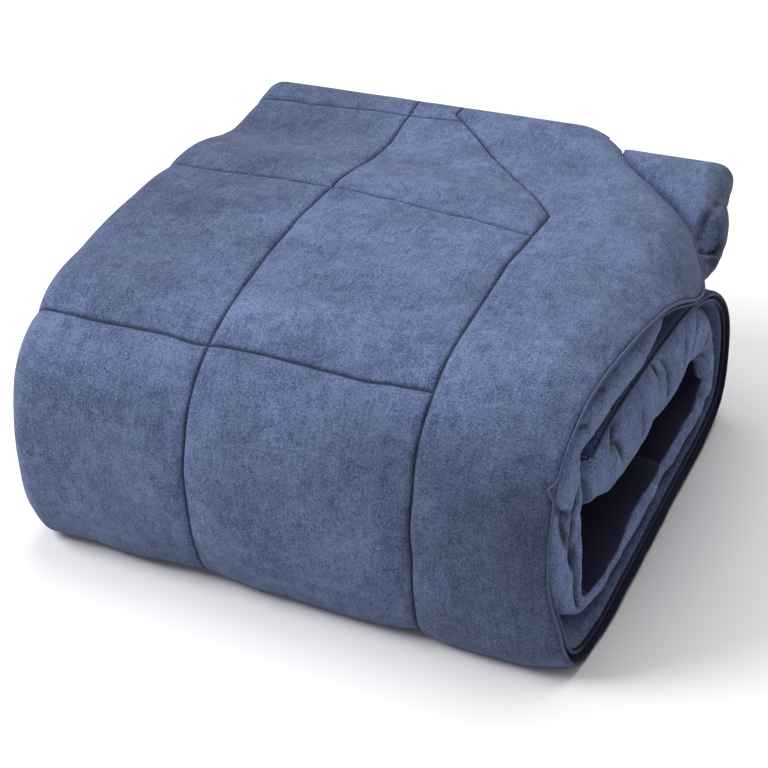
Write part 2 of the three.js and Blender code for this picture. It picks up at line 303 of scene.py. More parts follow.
# %% Lay the sheet out flat
LEFT_ROUND, LEFT_TURN, LEFT_WIDTH = 30, 110, 174
SQUARE_WIDTH, BORDER_WIDTH = 240, 160
SHEET_STEP, FEWEST_ROWS, EDGE_OUT = 8.5, 3, 4
SHEET_START = LEFT_END + LEFT_ROUND - LEFT_TURN - LEFT_WIDTH


def panel_columns():
    """For each column of the sheet: the panel it is in, and its share across that panel."""
    found = []
    for panel, width in enumerate([LEFT_WIDTH + LEFT_TURN + LEFT_WIDTH, SQUARE_WIDTH, BORDER_WIDTH]):
        count = round(width / SHEET_STEP)
        found.extend((panel, k / count) for k in range(count))
    return found + [(2, 1.0)]


def sheet_rows():
    found = []
    for low, high in zip(ROW_BORDERS[:-1], ROW_BORDERS[1:]):
        count = max(FEWEST_ROWS, round((high - low) / SHEET_STEP))
        found.extend(low + (high - low) * np.arange(count) / count)
    return np.array([*found, LENGTH])


def panel_borders(distance):
    """The four long lines that bound the panels, in the flat sheet."""
    start = np.full_like(distance, SHEET_START)
    edge = column("open_edge", distance) + EDGE_OUT
    return [start, first_seam(distance), border_seam(distance), edge]


SHEET_COLUMNS = panel_columns()
SHEET_ROWS = sheet_rows()
PANEL_STARTS = np.array([k for k, (_, share) in enumerate(SHEET_COLUMNS) if share == 0])
PANEL_ENDS = np.array([*PANEL_STARTS[1:], len(SHEET_COLUMNS) - 1])
print("sheet of", len(SHEET_ROWS), "by", len(SHEET_COLUMNS), "points")


# %% Make it a mesh, held where it is stitched
def mesh_object(name, points, faces):
    mesh = bpy.data.meshes.new(name)
    mesh.from_pydata(np.asarray(points).reshape(-1, 3).tolist(), [], faces)
    mesh.shade_smooth()
    piece = bpy.data.objects.new(name, mesh)
    bpy.context.scene.collection.objects.link(piece)
    return piece


def stitched_points():
    """Which points of the sheet a stitch or a sewn edge holds."""
    held = np.zeros((len(SHEET_ROWS), len(SHEET_COLUMNS)), bool)
    held[[0, -1]] = True
    held[:, [0, -1]] = True
    for number, (panel, share) in enumerate(SHEET_COLUMNS):
        if share == 0 and panel > 0:
            held[:, number] = True
        if panel < 2:
            held[np.isin(SHEET_ROWS, ROWS), number] = True
    return held


def flat_sheet():
    borders = panel_borders(SHEET_ROWS)
    x = np.stack([lerp(borders[panel], borders[panel + 1], share) for panel, share in SHEET_COLUMNS], 1)
    points = np.stack([x, np.repeat(SHEET_ROWS[:, None], x.shape[1], 1), 0 * x], -1) * MM
    index = np.arange(x.size).reshape(x.shape)
    quads = np.stack([index[:-1, :-1], index[:-1, 1:], index[1:, 1:], index[1:, :-1]], -1)
    sheet = mesh_object("flat sheet", points, quads.reshape(-1, 4).tolist())
    group = sheet.vertex_groups.new(name="stitched")
    group.add(index[stitched_points()].tolist(), 1.0, "REPLACE")
    return sheet


print("points held by stitches:", int(stitched_points().sum()))


# %% Blow it up and take its height
PRESSURE, LET_OUT, SIM_FRAMES = 3.0, 0.035, 16


def puffed_heights(sheet):
    """The height of each point of the sheet over its stitches, from a cloth simulation."""
    cloth = sheet.modifiers.new("cloth", "CLOTH")
    settings = cloth.settings
    settings.vertex_group_mass = "stitched"
    settings.quality = 5
    settings.mass = 0.15
    settings.tension_stiffness = settings.compression_stiffness = 12
    settings.shear_stiffness = 6
    settings.bending_stiffness = 0.02
    settings.air_damping = 4
    settings.shrink_min = -LET_OUT
    settings.use_pressure = True
    settings.uniform_pressure_force = PRESSURE
    settings.effector_weights.gravity = 0
    cloth.point_cache.frame_start = 1
    cloth.point_cache.frame_end = SIM_FRAMES
    scene = bpy.context.scene
    for frame_number in range(1, SIM_FRAMES + 1):
        scene.frame_set(frame_number)
        scene.view_layers[0].update()
    done = sheet.evaluated_get(bpy.context.evaluated_depsgraph_get())
    places = np.empty(len(SHEET_ROWS) * len(SHEET_COLUMNS) * 3, np.float32)
    done.data.vertices.foreach_get("co", places)
    scene.frame_set(1)
    return np.abs(places.reshape(len(SHEET_ROWS), len(SHEET_COLUMNS), 3)[..., 2] / MM)


def remove_sheet(sheet):
    mesh = sheet.data
    bpy.data.objects.remove(sheet)
    bpy.data.meshes.remove(mesh)


print("air pressure under the sheet:", PRESSURE, "and let out by", LET_OUT)

# %% Turn its heights into fullness
HIGH_PLACES, MOST_FULL, FIRMNESS, NEXT_TO_NOTHING = 97, 1.15, 3, 1e-6


def sheet_fullness(height):
    """Heights as shares of the highest places in each panel, flattened on top as firm filling is."""
    full = np.zeros_like(height)
    last_row = len(SHEET_ROWS) - 1
    rows = [0, *(int(np.argmin(np.abs(SHEET_ROWS - r))) for r in ROWS), last_row]
    for panel, (a, b) in enumerate(zip(PANEL_STARTS, PANEL_ENDS)):
        spans = list(zip(rows[:-1], rows[1:])) if panel < 2 else [(0, last_row)]
        for c, d in spans:
            block = height[c:d + 1, a:b + 1]
            high = max(np.percentile(block, HIGH_PLACES), NEXT_TO_NOTHING)
            share = np.clip(block / high, 0, MOST_FULL)
            size = min(1, (SHEET_ROWS[d] - SHEET_ROWS[c]) / WIDE_SPAN)
            flattened = 1 - (1 - np.minimum(share, 1)) ** FIRMNESS + np.maximum(share - 1, 0)
            full[c:d + 1, a:b + 1] = flattened * size
    return full


puffed_sheet = flat_sheet()
FULLNESS = sheet_fullness(puffed_heights(puffed_sheet))
remove_sheet(puffed_sheet)
print("fullness of the sheet, mean:", round(float(FULLNESS.mean()), 3))


# %% Read the sheet at any place
def sheet_at(distance, panel, share):
    """The sheet's fullness at a distance along it and a share across one of its panels."""
    across = PANEL_STARTS[panel] + np.clip(share, 0, 1) * (PANEL_ENDS - PANEL_STARTS)[panel]
    along = np.interp(distance, SHEET_ROWS, np.arange(len(SHEET_ROWS)))
    row = np.minimum(along.astype(int), len(SHEET_ROWS) - 2)
    number = np.minimum(across.astype(int), len(SHEET_COLUMNS) - 2)
    u, v = along - row, across - number
    return ((1 - u) * ((1 - v) * FULLNESS[row, number] + v * FULLNESS[row, number + 1])
            + u * ((1 - v) * FULLNESS[row + 1, number] + v * FULLNESS[row + 1, number + 1]))


print("panels across the sheet:", len(PANEL_STARTS))


# %% [markdown]
# ## Needlework
#
# A stitched line is a narrow groove in the nap, and the thread draws the cloth up into short puckers across
# it. Both are far narrower than the sheet's mesh, so they are added to the heights in code. Unevenness comes
# from noise with fixed seeds.
#
# The photo also shows a few longer wrinkles, where folding has pulled or pressed the face. Each is given
# as a soft trough from one place to another.

# %% Soft troughs
TROUGH_ENDS, TROUGH_TIP = 0.35, 0.08


def trough_depth(table, u, v):
    """How deep the soft troughs of a table are at the places u, v, in mm."""
    depth = np.zeros(np.broadcast(u, v).shape)
    for from_u, from_v, to_u, to_v, deep, width in table:
        start = np.array([from_u, from_v])
        along = np.array([to_u, to_v]) - start
        t = np.clip(((u - start[0]) * along[0] + (v - start[1]) * along[1]) / (along @ along), 0, 1)
        gap = np.hypot(u - start[0] - t * along[0], v - start[1] - t * along[1])
        middle = np.sin(math.pi * np.clip(t, TROUGH_TIP, 1 - TROUGH_TIP))
        fade = TROUGH_ENDS + (1 - TROUGH_ENDS) * middle
        depth = np.maximum(depth, deep * fade * np.exp(-((gap / width) ** 2)))
    return depth


# Each row: distance and x where a wrinkle starts, distance and x where it ends, its depth and its width
WRINKLES = [
    [150, 236, 200, 244, 1.2, 5.0],
    [200, 244, 236, 256, 1.6, 5.0],
    [236, 256, 270, 272, 1.8, 4.5],
    [262, 214, 300, 236, 1.1, 6.0],
    [212, 196, 226, 246, 1.2, 4.5],
    [508, 40, 485, 35, 1.4, 4.0],
    [527, 36, 541, 12, 1.2, 4.0],
    [536, -124, 512, -130, 1.2, 4.0],
    [262, -30, 250, -66, 1.2, 4.5],
    [290, -190, 330, -214, 1.0, 6.0],
    [610, 262, 640, 236, 1.4, 5.0],
    [566, 268, 582, 230, 1.6, 4.5],
    [584, 268, 602, 284, 3.4, 3.5],
    [690, 264, 720, 232, 1.2, 5.0],
    [1420, -90, 1460, -150, 1.4, 6.0],
    [1040, 60, 1080, 130, 1.2, 6.0],
]
print("wrinkles:", len(WRINKLES))


# %% Grooves, puckers and unevenness
GROOVE_DEPTH, GROOVE_WIDTH, DIAGONAL_SLANT, FAR_OFF = 2.6, 1.6, 0.73, 1e3
PUCKER_HEIGHT, PUCKER_REACH, PUCKER_STEP = 0.9, 15, 11
ROWS_APART, LONG_APART, PUCKER_NONE, PUCKER_FULL = 37.3, 90, 0.5, 5
UNEVEN_HEIGHT, UNEVEN_STEP, UNEVEN_NONE, UNEVEN_FULL = 1.3, 58, 2, 30
FINER_SHARE, FINER_ACROSS, FINER_ALONG = 0.4, 23, 31


def needlework(distance, x):
    """How far stitches and their puckers move the face, outward being positive, and how near a seam is."""
    one, two = first_seam(distance), border_seam(distance)
    slanted = (distance > DIAGONAL_START) & (distance < DIAGONAL_END)
    to_long = np.minimum(np.abs(x - one), np.abs(x - two) * np.where(slanted, DIAGONAL_SLANT, 1))
    nearest = nearest_row(distance)
    to_row = np.where(x <= two, np.abs(distance - nearest), FAR_OFF) + 0 * x
    nearness = np.minimum(to_long, to_row)
    groove = -GROOVE_DEPTH * np.exp(-((nearness / GROOVE_WIDTH) ** 2))
    pucker = np.exp(-to_row / PUCKER_REACH) * noise(x / PUCKER_STEP, nearest / ROWS_APART, seed=5)
    beside_long = noise(distance / PUCKER_STEP, x / LONG_APART, seed=6)
    pucker = pucker + np.exp(-to_long / PUCKER_REACH) * beside_long
    pucker = pucker * smoothstep(nearness, PUCKER_NONE, PUCKER_FULL)
    finer = noise(x / FINER_ACROSS, distance / FINER_ALONG, seed=8)
    uneven = noise(x / UNEVEN_STEP, distance / UNEVEN_STEP, seed=7) + FINER_SHARE * finer
    uneven = uneven - trough_depth(WRINKLES, distance, x) / UNEVEN_HEIGHT
    uneven = uneven * smoothstep(nearness, UNEVEN_NONE, UNEVEN_FULL)
    return groove + PUCKER_HEIGHT * pucker + UNEVEN_HEIGHT * uneven, nearness


print("a groove is", GROOVE_DEPTH, "deep and about", 2 * GROOVE_WIDTH, "wide")


# %% [markdown]
# ## The fold at the right end
#
# The rounded fold shows its end everywhere on the right, and there the cloth has been pushed about. It is
# fullest right at the fold, so the inner turn sags into the hollow and the front thickens. Short creases run
# into it where the wrap turns. They were placed from the photo, again as soft troughs, with shares of
# the way round the fold from its inner side in the place of x.

# %% Creases of the fold
# Each row: distance and share where a crease starts, distance and share where it ends, depth and width
CREASES = [
    [52, 0.70, 80, 0.82, 2.5, 3.5],
    [80, 0.82, 104, 0.89, 3.5, 3.5],
    [104, 0.89, 136, 0.93, 4.0, 4.0],
    [162, 0.92, 150, 0.72, 6.0, 3.2],
    [150, 0.72, 122, 0.48, 6.5, 3.2],
    [470, 0.84, 455, 0.66, 3.0, 3.5],
    [522, 0.80, 514, 0.52, 5.0, 3.5],
    [600, 0.97, 617, 0.74, 7.0, 3.2],
    [617, 0.74, 630, 0.54, 7.0, 3.2],
    [621, 0.70, 672, 0.57, 5.0, 3.2],
    [598, 0.40, 639, 0.49, 9.0, 3.2],
    [639, 0.49, 672, 0.52, 10.0, 3.2],
    [672, 0.52, 711, 0.50, 10.0, 3.2],
    [711, 0.50, 762, 0.53, 9.0, 3.2],
    [668, 0.36, 690, 0.42, 4.0, 3.2],
    [655, 0.94, 700, 0.80, 3.0, 4.0],
    [890, 0.60, 905, 0.34, 2.0, 4.0],
    [1010, 0.62, 1040, 0.36, 2.2, 4.0],
    [1105, 0.70, 1128, 0.30, 2.5, 4.0],
    [1205, 0.66, 1185, 0.16, 3.0, 4.0],
    [1330, 0.62, 1352, 0.18, 4.0, 4.0],
    [1392, 0.80, 1420, 0.38, 5.0, 3.5],
    [1450, 0.72, 1462, 0.40, 4.5, 3.0],
    [1536, 0.70, 1505, 0.36, 6.0, 3.0],
    [1562, 0.78, 1544, 0.58, 5.5, 3.5],
    [1612, 0.60, 1600, 0.34, 4.0, 3.5],
    [1677, 0.78, 1704, 0.62, 6.0, 3.5],
    [1700, 0.66, 1660, 0.44, 5.0, 3.0],
]
# The way round the fold, in millimetres, turns the shares into lengths
ROUND_LENGTH = 66
FOLD_TROUGHS = np.array(CREASES) * np.array([1, ROUND_LENGTH, 1, ROUND_LENGTH, 1, 1])
SLOW_RIPPLE, SLOW_STEP, SLOW_WAVES = 1.2, 21, 3.2
QUICK_RIPPLE, QUICK_STEP, QUICK_WAVES = 0.8, 9, 5


def creased_fold(distance, x, height, share):
    """The rounded fold with its creases and its unevenness."""
    ripple = SLOW_RIPPLE * noise(distance / SLOW_STEP, share * SLOW_WAVES, seed=11)
    ripple = ripple + QUICK_RIPPLE * noise(distance / QUICK_STEP, share * QUICK_WAVES, seed=12)
    inward = trough_depth(FOLD_TROUGHS, distance, share * ROUND_LENGTH) + ripple * np.sin(math.pi * share)
    return x - inward * np.sin(math.pi * share), height + inward * np.cos(math.pi * share)


print("creases:", len(CREASES))


# %% Fuller and pushed-out places
FRONT_SAG, FRONT_STRETCH = 38, (520, 580, 700, 770)
TURN_SAG, TURN_STRETCH = 18, (1390, 1470, 1700, 1750)
SAG_REACH = 60
CORNER_BULGE, CORNER_STRETCH = 9, (40, 110, 180, 250)
FLAP_BULGE, FLAP_STRETCH = 10, (50, 105, 135, 195)


def fold_sag(distance, x, right):
    """How much fuller the innermost ply is at the fold's own end."""
    front = FRONT_SAG * on_stretch(distance, *FRONT_STRETCH)
    turn = TURN_SAG * on_stretch(distance, *TURN_STRETCH)
    return (front + turn) * smoothstep(x, right - SAG_REACH, right)


def corner_bulge(distance):
    """How far the fold is pushed out under the flap, where the corner's block hangs over."""
    return CORNER_BULGE * on_stretch(distance, *CORNER_STRETCH)


def flap_bulge(distance):
    """How far the flap's slanted edge is pushed out near its corner."""
    return FLAP_BULGE * on_stretch(distance, *FLAP_STRETCH)


print("bulges under the flap and beside it, millimetres:", FLAP_BULGE, CORNER_BULGE)


# %% The corner droops, and the ends are thin
CORNER_DROOP, CORNER_AT, DROOP_FROM, DROOP_REACH, DROOP_SPAN = 28, 212, 256, 54, 82
END_TAPER, END_EDGE = 34, 0.3


def droop(x, distance):
    share = np.maximum((x - DROOP_FROM) / DROOP_REACH, 0)
    return CORNER_DROOP * share ** 2 * bell(distance, CORNER_AT, DROOP_SPAN)


def end_thickness(distance):
    """How thick a ply is near the quilt's two sewn ends, as a share of its full thickness."""
    to_end = np.maximum(np.minimum(distance, LENGTH - distance), 0)
    return END_EDGE + (1 - END_EDGE) * np.sqrt(np.minimum(to_end / END_TAPER, 1))


print("thickness at a sewn end:", float(end_thickness(0.0)))


# %% [markdown]
# ## The section
#
# Four plies lie on each other. The outer pair ends at the right in two open, piped edges. The inner pair is
# joined there by a rounded fold, and all four turn round together at the left end. The heights below are
# measured from the path's line, outward.

# %% The faces of the plies
PLY_GAP, CROWN_RISE, INNER_CROWN, BORDER_EVEN = 2.4, 6.5, 8, 0.2
EDGE_TIP, LOWER_TIP, RIM_WIDTH = 3, 2, 52
RIGHT_ROUND, RIGHT_PINCH, FLAT_FROM, FLAT_TO = 30, 4, 0.2, 0.8
BARE_RISE, BARE_FROM, BARE_TO = 24, 5, 20
BARE_FROM_AT_END, BARE_TO_AT_END, BARE_STEADY_FROM, BARE_STEADY_TO = -3, 6, 20, 100


class Section:
    """The faces of the four plies at each distance in a column of distances, as functions of x."""

    def __init__(self, distance):
        self.distance = distance
        self.outer = column("outer", distance)
        self.inner = column("inner", distance)
        self.upper = column("upper_welt", distance)
        self.lower = column("lower_welt", distance)
        self.edge = column("open_edge", distance) + flap_bulge(distance)
        self.full = row_swell(distance)
        self.thin = end_thickness(distance)
        self.left = np.full_like(distance, LEFT_END + LEFT_ROUND)
        self.one = first_seam(distance)
        self.two = border_seam(distance)
        fold = column("folded_edge", distance) + corner_bulge(distance)
        self.right = fold - RIGHT_PINCH * (1 - self.full) - RIGHT_ROUND
        self.between = (self.outer - CROWN_RISE) / 2

    def by_panel(self, x, values):
        """The first value left of the first seam, the second up to the border's seam, and then the third."""
        return np.where(x <= self.one, values[0], np.where(x <= self.two, values[1], values[2]))

    def crowned(self, x):
        border_full = np.minimum(lerp(1, self.full, BORDER_EVEN), (self.thin - END_EDGE) / (1 - END_EDGE))
        widths = [self.one - self.left, self.two - self.one, self.edge - self.two]
        shares = [0.5 + np.maximum((x - self.left) / widths[0], 0) / 2,
                  (x - self.one) / widths[1],
                  np.minimum((x - self.two) / widths[2], 0.5)]
        if FULLNESS is None:
            fulls = [self.full, self.full, border_full]
            panels = [swell(np.clip(share, 0, 1)) * full for share, full in zip(shares, fulls)]
        else:
            shares[0] = (x - SHEET_START) / (self.one - SHEET_START)
            shares[2] = (x - self.two) / (widths[2] + EDGE_OUT)
            panels = [sheet_at(self.distance, number, share) for number, share in enumerate(shares)]
            panels[2] = panels[2] * border_full
        panels = [panel * np.minimum(1, width / WIDE_SPAN) for panel, width in zip(panels, widths)]
        sunk = CROWN_RISE * (1 - self.by_panel(x, panels))
        return self.outer - sunk + needlework(self.distance, x)[0] * self.thin

    def hanging(self, height, at_edge, x):
        """A face that leaves its height near the open edge and droops at the corner."""
        rim = np.clip((x - self.edge + RIM_WIDTH) / RIM_WIDTH, 0, 1) ** 2
        return lerp(height, at_edge, rim) - droop(x, self.distance)

    def first_face(self, x):
        return self.hanging(self.crowned(x), self.upper + EDGE_TIP, x)

    def first_reverse(self, x):
        return self.hanging(self.between + PLY_GAP / 2, self.upper - EDGE_TIP, x)

    def second_reverse(self, x):
        return self.hanging(self.between - PLY_GAP / 2, self.lower + LOWER_TIP, x)

    def second_face(self, x):
        return self.hanging(PLY_GAP / 2, self.lower - LOWER_TIP, x)

    def third_face(self, x):
        """Under the second ply, and rising past the open edge, where nothing lies on it."""
        steady = smoothstep(self.distance, BARE_STEADY_FROM, BARE_STEADY_TO)
        bare_from = lerp(BARE_FROM_AT_END, BARE_FROM, steady)
        bare_to = lerp(BARE_TO_AT_END, BARE_TO, steady)
        bare = BARE_RISE * smoothstep(x, self.edge + bare_from, self.edge + bare_to)
        return self.second_face(np.minimum(x, self.edge)) - PLY_GAP + bare

    def third_reverse(self, x):
        return (PLY_GAP - self.inner) / 2 + 0 * x

    def fourth_reverse(self, x):
        return (-PLY_GAP - self.inner) / 2 + 0 * x

    def fourth_face(self, x):
        share = self.by_panel(x, [(x - self.left) / (self.one - self.left),
                                  (x - self.one) / (self.two - self.one),
                                  (x - self.two) / (self.edge - self.two)])
        sunk = INNER_CROWN * (1 - swell(np.clip(share, FLAT_FROM, FLAT_TO)) * self.full)
        return sunk - self.inner - fold_sag(self.distance, x, self.right)

    def ply(self, over, under, x):
        """The two faces of a ply, thinned toward the quilt's ends about the ply's own middle."""
        top, low = over(x), under(x)
        centre, half = (top + low) / 2, (top - low) / 2 * self.thin
        return centre + half, centre - half

    def first(self, x):
        return self.ply(self.first_face, self.first_reverse, x)

    def second(self, x):
        return self.ply(self.second_reverse, self.second_face, x)

    def third(self, x):
        return self.ply(self.third_face, self.third_reverse, x)

    def fourth(self, x):
        return self.ply(self.fourth_reverse, self.fourth_face, x)


SAMPLE = Section(np.array([[600.0]]))
heights = [round(float(height[0, 0]), 1) for height in SAMPLE.first(SAMPLE.left)]
print("heights of the outer ply's two faces on the front, millimetres:", heights)


# %% Put the section in its place along the path
MIDDLE_X, MIDDLE_Y = 8.455, 1.397
ROW_BOW, BOW_WIDTH, BOW_STRETCH = 15, 450, (0, 90, 300, 480)
SLIP, SLIP_REACH, INNER_SLIP = 0.3, 120, 0.09


def fold_point(distance, x, height):
    """A place in the frame: at a distance along the path, at x across it and at a height over its line."""
    t = parameter(distance)
    across = np.asarray((x - LEFT_END) / (RIGHT_END - LEFT_END))[..., None]
    base = lerp(LEFT_LINE.at(t), RIGHT_LINE.at(t), across)
    along = lerp(LEFT_LINE.direction(t), RIGHT_LINE.direction(t), across)
    along = along / np.linalg.norm(along, axis=-1, keepdims=True)
    past = distance - np.clip(distance, 0, LENGTH)
    y = base[..., 0] + height * along[..., 1] + past * along[..., 0]
    z = base[..., 1] - height * along[..., 0] + past * along[..., 1]
    return np.stack([x - MIDDLE_X, y - MIDDLE_Y, np.maximum(z, 0)], -1) * MM


def place(distance, x, height):
    """The rows on top bow a little, and the plies slip on each other at the quilt's two ends."""
    bow = ROW_BOW * on_stretch(distance, *BOW_STRETCH) * np.sin(math.pi * (x - LEFT_END) / BOW_WIDTH)
    start_slip = SLIP * (1 - smoothstep(distance, 0, SLIP_REACH))
    end_slip = INNER_SLIP * smoothstep(distance, LENGTH - SLIP_REACH, LENGTH)
    return fold_point(distance - bow - (start_slip + end_slip) * height, x, height)


on_the_top = place(np.array([400.0]), np.array([0.0]), np.array([30.0]))[0]
print("a place on the top, metres:", on_the_top.round(3).tolist())


# %% [markdown]
# ## The ring
#
# A ring of points goes once round the section: over the outer face, round the left end, along the innermost
# face, round the fold at the right end, and then in and out between the plies. Points lie close together
# beside a seam, where the cloth dips, and further apart where nothing shows.

# %% How close the points lie
BESIDE_SEAM = [0, 0.9, 2, 3.6, 6, 9, 13]
FINE_STEP, INNER_STEP, FOLD_STEP = 5.6, 16, 8
EDGE_WIDTH, FOLD_WIDTH = 170, 130
ROW_STEPS = [5, 6, 6, 4.5, 12, 12, 7.5, 4.5]
BESIDE_END = [1.5, 4, 8, 13, 20, 28]


def spaced_shares(width, step, start=True, end=True):
    """Shares from 0 to 1 of a width, closer beside a seam at its start or its end."""
    near = list(BESIDE_SEAM) if start else [0]
    far = [width - d for d in reversed(BESIDE_SEAM)] if end else [width]
    low, high = near[-1], far[0]
    count = max(1, round((high - low) / step))
    middle = [low + (high - low) * k / count for k in range(1, count)]
    return np.array(near + middle + far) / width


def row_distances():
    """The distances of the rings, closer beside each row and fine where the outer face is seen best."""
    found = []
    last = len(ROW_STEPS) - 1
    for index, (low, high) in enumerate(zip(ROW_BORDERS[:-1], ROW_BORDERS[1:])):
        part = spaced_shares(high - low, ROW_STEPS[index], start=index > 0, end=index < last)
        found.extend(low + part[:-1] * (high - low))
    beside_ends = [*BESIDE_END, *(LENGTH - d for d in BESIDE_END)]
    return np.unique(np.round([*found, LENGTH, *beside_ends], 3))


distances = row_distances()
TWO_TO_EDGE = spaced_shares(EDGE_WIDTH, FINE_STEP, start=False)
ONE_TO_TWO = spaced_shares(SQUARE_WIDTH, FINE_STEP)
LEFT_TO_ONE = spaced_shares(LEFT_WIDTH, FINE_STEP, end=False)
print("rings:", len(distances))


# %% Round ends, and the stretches of a ring
def round_end(x, start, end, reach, count, power=1.0):
    """A round end between two heights, reaching out along X, without its two end points."""
    angle = math.pi * np.arange(1, count) / count
    cosine, sine = np.cos(angle), np.sin(angle)
    height = (start + end) / 2 + (start - end) / 2 * np.sign(cosine) * np.abs(cosine) ** power
    return x + reach * sine ** power, height


class Ring:
    """The stretches of the ring in their order, for many distances at once. Each has a name, x and height."""

    def __init__(self, distance):
        self.section = Section(distance[:, None])
        self.rows = len(distance)
        self.stretches = []

    def add(self, name, x, height):
        self.stretches.append((name, x, height))

    def follow(self, name, x, face):
        """Points on one face of a ply."""
        self.add(name, x, face(x))

    def walk(self, name, low, high, share, face):
        """Points on one face of a ply, at shares of the way between two places."""
        self.follow(name, lerp(low, high, np.asarray(share)[None, :]), face)

    def arrays(self):
        """The x and the height of all points, a row for each distance, and the stretch of each column."""
        x = [np.broadcast_to(x, (self.rows, x.shape[1])) for _, x, _ in self.stretches]
        height = [np.broadcast_to(h, (self.rows, h.shape[1])) for _, _, h in self.stretches]
        names = [[name] * x.shape[1] for name, x, _ in self.stretches]
        return np.concatenate(x, 1), np.concatenate(height, 1), np.concatenate(names)


def upside(ply):
    return lambda x: ply(x)[0]


def underside(ply):
    return lambda x: ply(x)[1]


print("points in a round end of four steps:", len(round_end(0, 1, -1, 1, 4)[1]))


# %% Over the outer face, round the left end and along the innermost face
LEFT_PINCH, LEFT_STEPS = 5, 22


def outer_side(ring):
    s = ring.section
    face, bottom = upside(s.first), underside(s.fourth)
    ring.walk("face", s.edge, s.two, TWO_TO_EDGE, face)
    ring.walk("face", s.two, s.one, ONE_TO_TWO[1:], face)
    ring.walk("face", s.one, s.left, LEFT_TO_ONE[1:], face)
    reach = LEFT_END + LEFT_PINCH * (1 - s.full) - s.left
    ring.add("left", *round_end(s.left, face(s.left), bottom(s.left), reach, LEFT_STEPS))
    ring.walk("inner_face", s.left, s.one, spaced_shares(LEFT_WIDTH, INNER_STEP, start=False), bottom)
    ring.walk("inner_face", s.one, s.two, spaced_shares(SQUARE_WIDTH, INNER_STEP)[1:], bottom)
    ring.walk("inner_face", s.two, s.right, spaced_shares(FOLD_WIDTH, FOLD_STEP, end=False)[1:], bottom)


print("points across the outer face:", len(TWO_TO_EDGE) + len(ONE_TO_TWO) + len(LEFT_TO_ONE) - 2)

# %% Round the fold at the right end
FOLD_STEPS, RIGHT_SQUARENESS = 30, 0.75
FOLD_SHARES = np.arange(1, FOLD_STEPS) / FOLD_STEPS
BARE_REACH, BARE_SPARE, COVER_REACH, COVER_SPARE, COVER_BACK = 24, 9, 5, 8, 60
BARE_SHARES, COVER_SHARES = [0, 0.33, 0.66], [0.1, 0.25, 0.45, 0.7, 1]


def bare_places(s):
    """Where the fold's bare top ends, and where the second ply already covers it."""
    bare_x = np.minimum(s.edge + BARE_REACH, s.right - BARE_SPARE)
    return bare_x, np.minimum(s.edge + COVER_REACH, bare_x - COVER_SPARE)


def right_side(ring):
    s = ring.section
    bottom, top = underside(s.fourth), upside(s.third)
    x, height = round_end(s.right, bottom(s.right), top(s.right), RIGHT_ROUND, FOLD_STEPS, RIGHT_SQUARENESS)
    ring.add("right_fold", *creased_fold(s.distance, x, height, FOLD_SHARES))
    bare_x, under_x = bare_places(s)
    ring.walk("inner_top", s.right, bare_x, BARE_SHARES, top)
    ring.walk("inner_top", bare_x, under_x, [*BARE_SHARES, 1], top)
    ring.walk("inner_top", under_x, under_x - COVER_BACK, COVER_SHARES, top)


print("points round the fold:", len(FOLD_SHARES))

# %% In and out between the plies
BETWEEN_TIP, TIP_BACK, SECOND_SET_BACK, EDGE_NOSE = 47, 4, 3, 1.5
SECOND_START, SECOND_HOLLOW, REVERSE_START, REVERSE_HOLLOW, RIGHT_HOLLOW = 14, 22, 10, 24, 6
SECOND_FACE_BACK = np.array([[78, 58, 38, 26, 17, 10, 5, 2, 0]])
SECOND_REVERSE_BACK = np.array([[0, 2, 5, 12, 24, 44, 70]])
FIRST_REVERSE_BACK = np.array([[120, 80, 54, 34, 20, 10, 4, 0]])


def open_ply(ring):
    """In to the fold between the pairs, and along the second ply to its open edge and back."""
    s = ring.section
    tip = LEFT_END + BETWEEN_TIP + 0 * s.left
    ring.add("between", tip + TIP_BACK, upside(s.third)(tip))
    ring.add("between", tip, 0 * tip)
    ring.add("between", tip + TIP_BACK, underside(s.second)(tip))
    second_edge = s.edge - SECOND_SET_BACK
    ring.follow("second_face", second_edge - SECOND_FACE_BACK, underside(s.second))
    ring.follow("second_reverse", second_edge - SECOND_REVERSE_BACK, upside(s.second))
    ring.follow("second_reverse", s.left + SECOND_START, upside(s.second))


def hidden_side(ring):
    """Between the second ply and the third, round inside the fold, and back above the fourth."""
    s = ring.section
    third_low, fourth_top = underside(s.third), upside(s.fourth)
    bare_x, under_x = bare_places(s)
    second_x, reverse_x, inside_x = s.left + SECOND_START, s.left + REVERSE_START, s.right - RIGHT_HOLLOW
    turn = round_end(second_x, upside(s.second)(second_x), third_low(second_x), -SECOND_HOLLOW, 4)
    ring.add("hidden", *turn)
    for x in (second_x, under_x, bare_x, inside_x):
        ring.follow("hidden", x, third_low)
    ring.add("hidden", s.right, -s.inner / 2)
    for x in (inside_x, reverse_x):
        ring.follow("hidden", x, fourth_top)
    turn = round_end(reverse_x, fourth_top(reverse_x), underside(s.first)(reverse_x), -REVERSE_HOLLOW, 5)
    ring.add("hidden", *turn)


def outer_reverse(ring):
    """The reverse of the outer ply, back to its open edge."""
    s = ring.section
    ring.follow("first_reverse", s.left + REVERSE_START, underside(s.first))
    ring.follow("first_reverse", s.edge - FIRST_REVERSE_BACK, underside(s.first))
    ring.add("nose", s.edge + EDGE_NOSE, s.upper - droop(s.edge, s.distance))


ring = Ring(distances)
for side in (outer_side, right_side, open_ply, hidden_side, outer_reverse):
    side(ring)
ring_x, ring_height, ring_names = ring.arrays()
print("points in each ring:", ring_x.shape[1])


